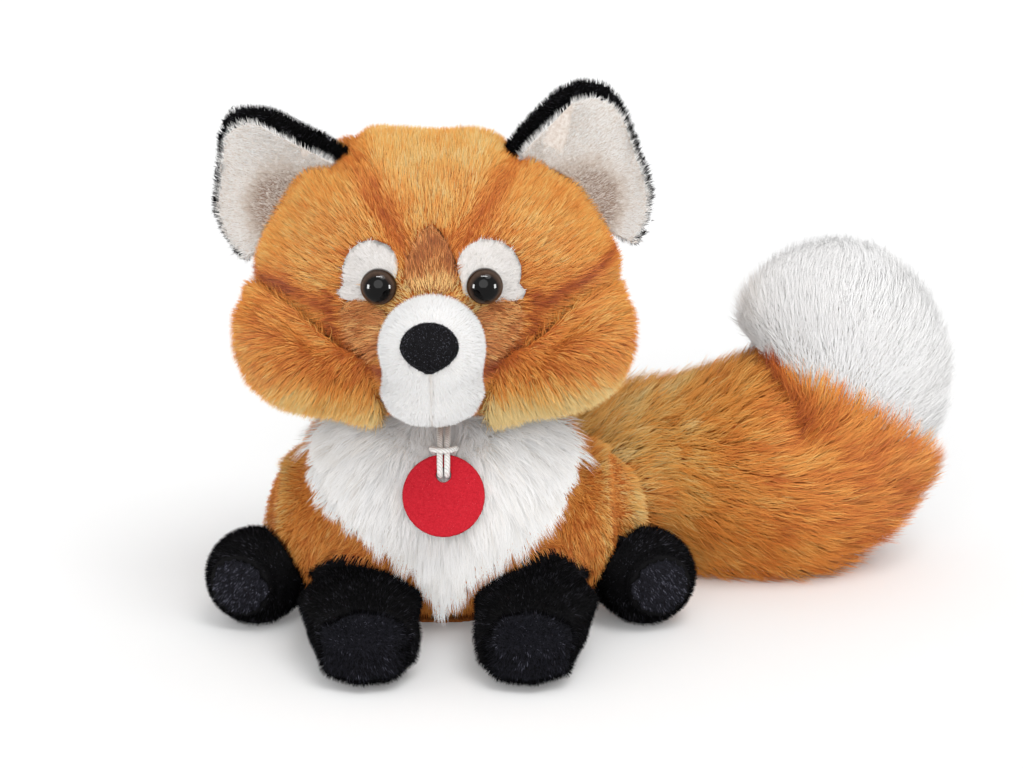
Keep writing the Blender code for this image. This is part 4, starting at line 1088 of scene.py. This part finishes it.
def shape_body(at, ways):
    """The haunches step back behind the body's sides."""
    away = at.copy()
    front = 1 - smooth_step(at[:, 1], -0.020, 0.010)
    for sign in SIDES.values():
        past = past_body_line(at, sign)
        step = smooth_step(past, -0.0008, 0.0018) * (1 - 0.5 * smooth_step(past, 0.005, 0.016))
        away[:, 1] += HAUNCH_STEP * step * front
        away[:, 0] += sign * BODY_RIM * bell(past, 0.006) * front * (past < 0.0005)
    slim = smooth_step(past_body_line(at, -1), -0.002, 0.004) * smooth_step(at[:, 2], 0.046, 0.060)
    away[:, 0] += HAUNCH_SLIM * slim
    return away


def comb_bib(at, ways):
    return unit(at - NECK_POINT) * np.array((0.9, 0.6, 1.0)) + np.array((0, 0, -0.45))


def press_under_tag(spots):
    """Presses hairs that would come through the tag or its cord down behind them."""
    off = spots - np.array(TAG_MIDDLE)
    height = off @ TAG_OUT
    across = np.linalg.norm(off - height[:, None] * TAG_OUT, axis=1)
    over = np.where(across < TAG_RADIUS + 0.0015, np.maximum(height + 0.0020, 0), 0)
    up = off @ TAG_UP
    cord = np.interp(up, CORD_UP, CORD_OUT)
    by_cord = (np.abs(off[:, 0]) < 0.0040) & (up > 0.006) & (up < 0.030)
    over = np.maximum(over, np.where(by_cord, np.maximum(height - cord + 0.0022, 0), 0))
    return spots - over[:, None] * TAG_OUT


def inside_bib(at):
    """How far inside the bib's V a spot is, sideways, seen from the front."""
    left, right = (np.interp(at[:, 2], BIB_HEIGHTS, side) for side in (BIB_LEFT, BIB_RIGHT))
    return np.minimum(at[:, 0] - left, right - at[:, 0])


def length_bib(at, ways):
    room = np.clip((inside_bib(at + np.array((0, 0, -0.008))) + 0.008) / 0.014, 0.38, 1)
    middle = bell(at[:, 0] - 0.0035, 0.014) * (1 - smooth_step(at[:, 2], 0.030, 0.045))
    room = np.maximum(room, middle)
    return room * (0.78 + 0.30 * (1 - smooth_step(at[:, 2], 0.040, 0.078)) - 0.24 * middle)


def shade_bib(at, ways):
    # Painted light: lighter just under the chin, where the head's shadow falls
    chin = smooth_step(at[:, 2], 0.068, 0.080) * (1 - smooth_step(np.abs(at[:, 0]), 0.012, 0.035))
    return 0.82 + 0.05 * chin + 0.06 * mottle(at, 0.010, 21)


def on_throat(at, ways):
    """The part of the body's skin, right under the chin, that has the bib's long white pile."""
    return (at[:, 2] > 0.062) & (ways[:, 1] < 0.15) & (inside_bib(at) > 0.0) & (at[:, 1] < -0.020)


def off_the_body_cut(at, ways):
    clear = np.ones(len(at), bool)
    for side in SIDES:
        point, way = BODY_CUT[side]
        clear &= off_plane(at, ways, point, unit(way), 0.0010, 0.75)
    return clear


def make_body():
    """One skin over the body and its haunches, cut in three, the bib, and what is inside."""
    whole = ["torso", "haunch_left", "haunch_right"]
    torso = skin("torso_skin", whole, "torso", "orange", 0.0016, 0.0030,
                 ["front_leg_left", "front_leg_right", "hind_foot_left", "hind_foot_right", "chest_bib",
                  "head", "tail"], ease=7, shape=shape_body, stands_for=["torso"])
    haunches = {}
    for side in SIDES:
        node = "haunch_" + side
        haunches[side] = cut_in_two(torso, node + "_skin", node, "torso", "orange", *BODY_CUT[side])
    torso.data.materials.append(CLOTHS["white"])
    for polygon in torso.data.polygons:
        middle, way = np.array([polygon.center]), np.array([polygon.normal])
        polygon.material_index = int(on_throat(middle, way)[0])
    grow("torso_pile", "torso", "orange", "torso", torso, comb_torso, shade_body, (others(*whole),), 0.0035,
         length_body,
         keep=lambda at, ways: (at[:, 2] < 0.0805) & ~on_throat(at, ways) & off_the_body_cut(at, ways))
    grow("throat_pile", "torso", "bib", "bib", torso, comb_bib, shade_bib, (tree_of("chest_bib"),), 0.0035,
         lambda at, ways: 0.8, keep=on_throat, shadows=False)
    for side in SIDES:
        middle = ANKLE[side] + np.array((-0.02 * SIDES[side], 0, 0.045))
        grow(f"haunch_{side}_pile", "torso", "orange", "torso", haunches[side],
             away_from(middle, (0, -0.1, -0.5)), shade_body, (others(*whole, "tail"),), 0.0035, length_body,
             keep=off_the_body_cut, near=tree_of("tail"), near_share=0.4)
    bib = skin("bib_skin", ["chest_bib"], "torso", "white", 0.0013, 0.0045, ["torso", "head"], fill=0.5)
    grow("bib_pile", "torso", "bib", "bib", bib, comb_bib, shade_bib, (others("chest_bib", "head"),), 0.002,
         length_bib, droop=0.10, press=press_under_tag, shadows=False)
    skin("seat_skin", ["seat_panel"], "torso", "seat", 0.0009, ease=1, fill=0.2)
    skin("bag_skin", ["pellet_bag"], "torso", "bag", 0.0013, 0.0006, fill=0.6)


# Legs and feet


def past_sole_seam(at):
    """How far in front of the sole's seam a spot of the whole leg's skin is."""
    return at @ SOLE_WAY - (at @ SOLE_WAY).max() + SOLE_CAP


def shape_leg(at, ways):
    """Squarer at the top than the solid, broader, and with the paw further forward at the floor."""
    away = at.copy()
    low, high = at.min(axis=0), at.max(axis=0)
    middle = (low[0] + high[0]) / 2
    rise = (at[:, 2] - low[2]) / (high[2] - low[2])
    across = (at[:, 0] - middle) / ((high[0] - low[0]) / 2)
    corner = LEG_SQUARE * smooth_step(rise, 0.40, 0.76) * (1 - 0.75 * smooth_step(rise, 0.80, 1.0))
    paw = smooth_step(-at[:, 1], 0.056, 0.076)
    away[:, 0] = middle + (at[:, 0] - middle) * (LEG_BREADTH + corner + PAW_BREADTH * paw)
    outer = smooth_step(across * np.sign(middle), 0.1, 0.8)
    away[:, 0] += np.sign(middle) * LEG_OUT * outer * smooth_step(rise, 0.40, 0.75)
    away[:, 2] -= LEG_SHOULDER * smooth_step(np.abs(across), 0.3, 0.9) * smooth_step(rise, 0.55, 0.9)
    front = smooth_step(-away[:, 1], 0.050, 0.072)
    height = away[:, 2].copy()
    away[:, 1] -= PAW_FORWARD * front * (1 - smooth_step(height, 0.002, 0.022))
    away[:, 2] += PAW_RISE * front * smooth_step(height, 0.008, 0.018)
    return away - ways * (SOLE_GROOVE * bell(past_sole_seam(away), 0.0013))[:, None]


def shade_front_sole(at, ways):
    # Painted light: the sole is lighter along its top
    return 0.26 + 0.16 * smooth_step(at[:, 2], 0.014, 0.022) + 0.10 * mottle(at, 0.006, 25)


def pressed(side):
    """The hind sole's dimple, pressed into the middle of its front."""
    turn = math.radians(FOOT_TURN_DEG)
    front = unit(np.array((SIDES[side] * math.sin(turn), -math.cos(turn), 0)))

    def shape(at, ways):
        off = at - at.mean(axis=0)
        across = np.linalg.norm(off - np.outer(off @ front, front), axis=1)
        return at - front * (SOLE_DIMPLE * bell(across, 0.005) * ((ways @ front) > 0.3))[:, None]

    return shape


def make_limbs():
    for side, out in SIDES.items():
        leg, sole = "front_leg_" + side, "front_sole_" + side
        part = skin(leg + "_skin", [leg, sole], leg, "black", 0.0012, 0.0010, ["torso", "haunch_" + side],
                    shape=shape_leg, stands_for=[leg])
        at = points_of(part.data)
        seam = at[np.argmax(at @ SOLE_WAY)] - SOLE_WAY * SOLE_CAP
        cap = cut_in_two(part, sole + "_skin", sole, leg, "sole", seam, SOLE_WAY)

        def off_the_seam(at, ways, seam=seam):
            return off_plane(at, ways, seam, unit(SOLE_WAY), 0.0006, 0.85)

        grow(leg + "_pile", leg, "black", "leg", part, straight(0.0, -0.6, -0.8),
             even(0.40, 0.14, 0.008, 23), (others(leg, sole),), 0.002, keep=off_the_seam)
        grow(sole + "_pile", leg, "sole", "paw", cap,
             away_from(np.array((0.034 * out, -0.06, 0.012)), (0, 0, -0.2)), shade_front_sole,
             (others(leg, sole),), 0.002, keep=off_the_seam)
        foot, sole = "hind_foot_" + side, "hind_sole_" + side
        part = skin(foot + "_skin", [foot], foot, "black", 0.0013, 0.0016, ["torso", "haunch_" + side, sole])
        grow(foot + "_pile", foot, "black", "leg", part, away_from(ANKLE[side], (0, 0, 0.1)),
             even(0.40, 0.14, 0.008, 27), (others(foot),), 0.002)
        part = skin(sole + "_skin", [sole], foot, "sole", 0.0011, 0.0010, [foot], shape=pressed(side))
        grow(sole + "_pile", foot, "sole", "sole", part, straight(0.6 * out, 0.0, -1.0),
             even(0.50, 0.14, 0.006, 29), (others(sole),), 0.002)


# Tail


def along_tail(at):
    """The direction of the nearest stretch of the tail's middle line."""
    line = np.array(TAIL_LINE)
    best = np.full(len(at), 1e9)
    way = np.zeros((len(at), 3))
    for start, end in zip(line[:-1], line[1:]):
        step = end - start
        share = np.clip(((at - start) @ step) / (step @ step), 0, 1)
        gap = np.linalg.norm(at - (start + share[:, None] * step), axis=1)
        nearer = gap < best
        best[nearer] = gap[nearer]
        way[nearer] = step / np.linalg.norm(step)
    return way


def comb_tail(at, ways):
    return along_tail(at) + 0.16 * columns(*[mottle(at, 0.03, 31 + axis) for axis in range(3)])


def tail_fold(at):
    """The fold in front, where the tail turns up."""
    return bell(from_line(at, TAIL_FOLD), 0.0075) * (at[:, 1] < 0.050)


def past_seam(at):
    return (at - TIP_SEAM_POINT) @ unit(TIP_DIRECTION)


def shape_tail(at, ways):
    """The fold in front, a dip along the top, and a tip that is broader low down than the solid's."""
    away = at - ways * (TAIL_FOLD_DEPTH * tail_fold(at))[:, None]
    x, z = at[:, 0], at[:, 2]
    away[:, 2] -= TAIL_DIP * bell(x - 0.090, 0.020) * smooth_step(ways[:, 2], 0.2, 0.8)
    left = 1 - smooth_step(x, 0.108, 0.135)
    away[:, 0] -= TIP_SPREAD_INNER * bell(z - 0.098, 0.014) * left * (x > 0.095)
    away[:, 0] += TIP_SPREAD_OUTER * bell(z - 0.076, 0.018) * smooth_step(x, 0.165, 0.182)
    away[:, 0] += TAIL_BEND * bell(z - 0.044, 0.016) * smooth_step(x, 0.150, 0.175)
    return away


def shade_tail(at, ways):
    x, seam = at[:, 0], -past_seam(at)
    painted_top_light = smooth_step(ways[:, 2], -0.2, 0.9)
    painted_light_near_body = 1 - smooth_step(x, 0.070, 0.110)
    rim = (1 - smooth_step(seam, 0.0, 0.020)) * smooth_step(x, 0.135, 0.165)
    painted_seam_shadow = (1 - smooth_step(seam, 0.001, 0.010)) * (1 - smooth_step(x, 0.118, 0.135))
    # Painted light on the upward side and near the body, where the body shades the tail; painted shade towards
    # the tail's outer end, just under the tip's seam on the left, and in the fold
    return (0.47 + 0.12 * painted_top_light + 0.15 * painted_light_near_body + 0.12 * rim - 0.13 * smooth_step(x, 0.120, 0.160)
            - 0.30 * painted_seam_shadow - 0.44 * tail_fold(at) + 0.08 * mottle(at, 0.014, 41))


def length_tip(at, ways):
    return 0.35 + 0.65 * smooth_step(past_seam(at), 0.002, 0.016) - 0.15 * smooth_step(at[:, 2], 0.105, 0.120)


def shade_tip(at, ways):
    left = 1 - smooth_step(at[:, 0], 0.112, 0.132)
    return 0.82 - 0.40 * left * smooth_step(at[:, 2], 0.075, 0.095) + 0.04 * mottle(at, 0.02, 51)


def off_the_tip_cut(at, ways):
    return off_plane(at, ways, TIP_SEAM_POINT, unit(TIP_DIRECTION), 0.0008, 0.8)


def make_tail():
    """One skin over the tail and its tip, cut in two at their seam."""
    tail = skin("tail_skin", ["tail", "tail_tip"], "tail", "orange", 0.0018, 0.0058, ["torso", "haunch_left"],
                ease=8, shape=shape_tail, stands_for=["tail"])
    tip = cut_in_two(tail, "tip_skin", "tail_tip", "tail", "white", TIP_SEAM_POINT, TIP_DIRECTION)
    grow("tail_pile", "tail", "orange", "tail", tail, comb_tail, shade_tail,
         (others("tail", "tail_tip", "haunch_left"),), 0.004, keep=off_the_tip_cut,
         near=tree_of("haunch_left"), near_share=0.25, near_reach=0.010)
    grow("tip_pile", "tail", "white", "tip", tip, comb_tail, shade_tip, (others("tail", "tail_tip"),), 0.004,
         length_tip, keep=lambda at, ways: off_the_tip_cut(at, ways) & (past_seam(at) > 0.0025))


# Eyes, tag and cord


def turned(name, profile, middle, outward, segments):
    """A mesh turned about an axis: profile is (radius, height) pairs from the front to the back."""
    bm = bmesh.new()
    rings = []
    for radius, height in profile:
        turns = [2 * math.pi * i / segments for i in range(segments if radius else 1)]
        rings.append([bm.verts.new((radius * math.cos(t), radius * math.sin(t), height)) for t in turns])
    for first, second in zip(rings, rings[1:]):
        for i in range(segments):
            j = (i + 1) % segments
            if len(first) == 1:
                bm.faces.new((first[0], second[i], second[j]))
            elif len(second) == 1:
                bm.faces.new((first[i], second[0], first[j]))
            else:
                bm.faces.new((first[i], second[i], second[j], first[j]))
    bmesh.ops.recalc_face_normals(bm, faces=bm.faces)
    mesh = bpy.data.meshes.new(name)
    bm.to_mesh(mesh)
    bm.free()
    mesh.shade_smooth()
    turn = Vector((0, 0, 1)).rotation_difference(Vector(outward))
    obj = link(bpy.data.objects.new(name, mesh))
    obj.matrix_world = Matrix.Translation(middle) @ turn.to_matrix().to_4x4()
    return obj


def make_eyes():
    finish = eye_material()
    for side in SIDES:
        at = points_of(NODES["eye_" + side].data)
        # The dome's front is the spot furthest from the stem's end
        stem_end = at[np.argsort(at[:, 1])[-12:]].mean(axis=0)
        front = at[np.argmax(np.linalg.norm(at - stem_end, axis=1))]
        outward = unit(front - stem_end)
        stem_back = float(((at - front) @ outward).min())
        profile = [(0, 0.0)]
        for step in range(1, 13):
            turn = math.pi / 2 * step / 12
            profile.append((EYE_RADIUS * math.sin(turn), EYE_DOME * (math.cos(turn) - 1)))
        rim_back = -EYE_DOME - EYE_RIM
        profile += [(EYE_RADIUS, rim_back), (EYE_RADIUS * 0.92, rim_back - 0.0002)]
        profile += [(EYE_STEM, rim_back - 0.0003), (EYE_STEM, stem_back + 0.0004)]
        profile += [(EYE_STEM - 0.0004, stem_back), (0, stem_back)]
        middle = Vector(front - outward * EYE_SET_BACK)
        eye = turned("eye_dome_" + side, profile, middle, Vector(outward), 48)
        eye.data.materials.append(finish)
        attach(eye, "head")
        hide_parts("eye_" + side)


def shape_tag(at, ways):
    return at + ways * (0.00006 * mottle(at, 0.0012, 61))[:, None]


def make_tag():
    place = Matrix(((1, 0, 0), TAG_OUT, TAG_UP)).transposed().to_4x4()
    place.translation = TAG_MIDDLE
    route = [place @ Vector(spot) for spot in CORD_ROUTE]
    route += [place @ Vector((-across, out, up)) for across, out, up in reversed(CORD_ROUTE[:-1])]
    curve = bpy.data.curves.new("cord", "CURVE")
    curve.dimensions = "3D"
    curve.bevel_depth = CORD_RADIUS
    curve.bevel_resolution = 4
    curve.use_fill_caps = True
    spline = curve.splines.new("POLY")
    spline.points.add(len(route) - 1)
    for point, spot in zip(spline.points, route):
        point.co = (*spot, 1)
    cord = link(bpy.data.objects.new("cord", curve))
    curve.materials.append(cord_material())
    disc = skin("tag", ["tag_disc"], "tag", "felt", 0.0005, ease=3, shape=shape_tag, fill=1.0)
    grow("tag_fuzz", "tag", "felt", "felt", disc, unbrushed(3), even(0.5))
    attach(cord, "tag")
    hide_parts("tag_cord")


def make_washers():
    made = washer_material()
    for side in SIDES:
        for slot in NODES["eye_washer_" + side].material_slots:
            slot.material = made


# Stage


def make_camera():
    scene = bpy.context.scene
    scene.view_settings.view_transform = "Standard"
    data = bpy.data.cameras.new("camera")
    data.lens = CAMERA_LENS
    data.clip_start = 0.05
    data.clip_end = 50
    camera = link(bpy.data.objects.new("camera", data))
    camera.location = CAMERA_AT
    camera.rotation_euler = (math.radians(90 - CAMERA_DOWN_DEG), 0, 0)
    scene.camera = camera


def make_world():
    """A plain fill on the object, and white where the camera or a gloss sees past it."""
    world = bpy.data.worlds.new("studio")
    world.use_nodes = True
    tree = world.node_tree
    back = tree.nodes["Background"]
    back.inputs["Strength"].default_value = WORLD_FILL
    back.inputs["Color"].default_value = WHITE
    white = add_node(tree, "Background", {"Strength": 1.0, "Color": WHITE})
    path = add_node(tree, "LightPath").outputs
    rays = {0: path["Is Camera Ray"], 1: path["Is Transmission Ray"]}
    either = add_node(tree, "Math", rays, operation="MAXIMUM").outputs["Value"]
    rays = {0: either, 1: path["Is Glossy Ray"]}
    seen = add_node(tree, "Math", rays, operation="MAXIMUM").outputs["Value"]
    mix = add_node(tree, "MixShader", {"Fac": seen, 1: back.outputs["Background"],
                                       2: white.outputs["Background"]})
    fill_socket(tree, tree.nodes["World Output"].inputs["Surface"], mix.outputs["Shader"])
    bpy.context.scene.world = world


def make_floor():
    """A white floor that glows a little for the camera alone, so it keeps the object's shadow."""
    mesh = bpy.data.meshes.new("floor")
    corners = [(x * FLOOR_HALF, y * FLOOR_HALF, 0) for x, y in ((-1, -1), (1, -1), (1, 1), (-1, 1))]
    mesh.from_pydata(corners, [], [(0, 1, 2, 3)])
    floor = link(bpy.data.objects.new("floor", mesh))
    made, tree, shader = new_material("floor_white")
    set_shader(tree, shader, (0.90, 0.90, 0.90, 1), 0.8, 0.2)
    seen = add_node(tree, "LightPath").outputs["Is Camera Ray"]
    dark = add_node(tree, "Emission", {"Strength": 0.0}).outputs["Emission"]
    glow = add_node(tree, "Emission", {"Strength": FLOOR_GLOW}).outputs["Emission"]
    only = add_node(tree, "MixShader", {"Fac": seen, 1: dark, 2: glow}).outputs["Shader"]
    total = add_node(tree, "AddShader", {0: shader.outputs["BSDF"], 1: only}).outputs["Shader"]
    fill_socket(tree, tree.nodes["Material Output"].inputs["Surface"], total)
    mesh.materials.append(made)


def light(name, kind, place, strength):
    data = bpy.data.lights.new(name, kind)
    data.energy = strength
    obj = link(bpy.data.objects.new(name, data))
    obj.location = place
    way = Vector(LIT_POINT) - obj.location
    obj.rotation_euler = way.to_track_quat("-Z", "Y").to_euler()
    return obj


def make_lights():
    for name, place, strength, spread in SUNS:
        light(name, "SUN", place, strength).data.angle = math.radians(spread)
    for name, place, watts, sides in PANELS:
        panel = light(name, "AREA", place, watts)
        panel.data.shape = "RECTANGLE"
        panel.data.size, panel.data.size_y = sides
        panel.visible_diffuse = False


make_camera()
make_world()
make_floor()
make_lights()
make_tag()
make_eyes()
make_head()
make_ears()
make_body()
make_limbs()
make_tail()
make_washers()
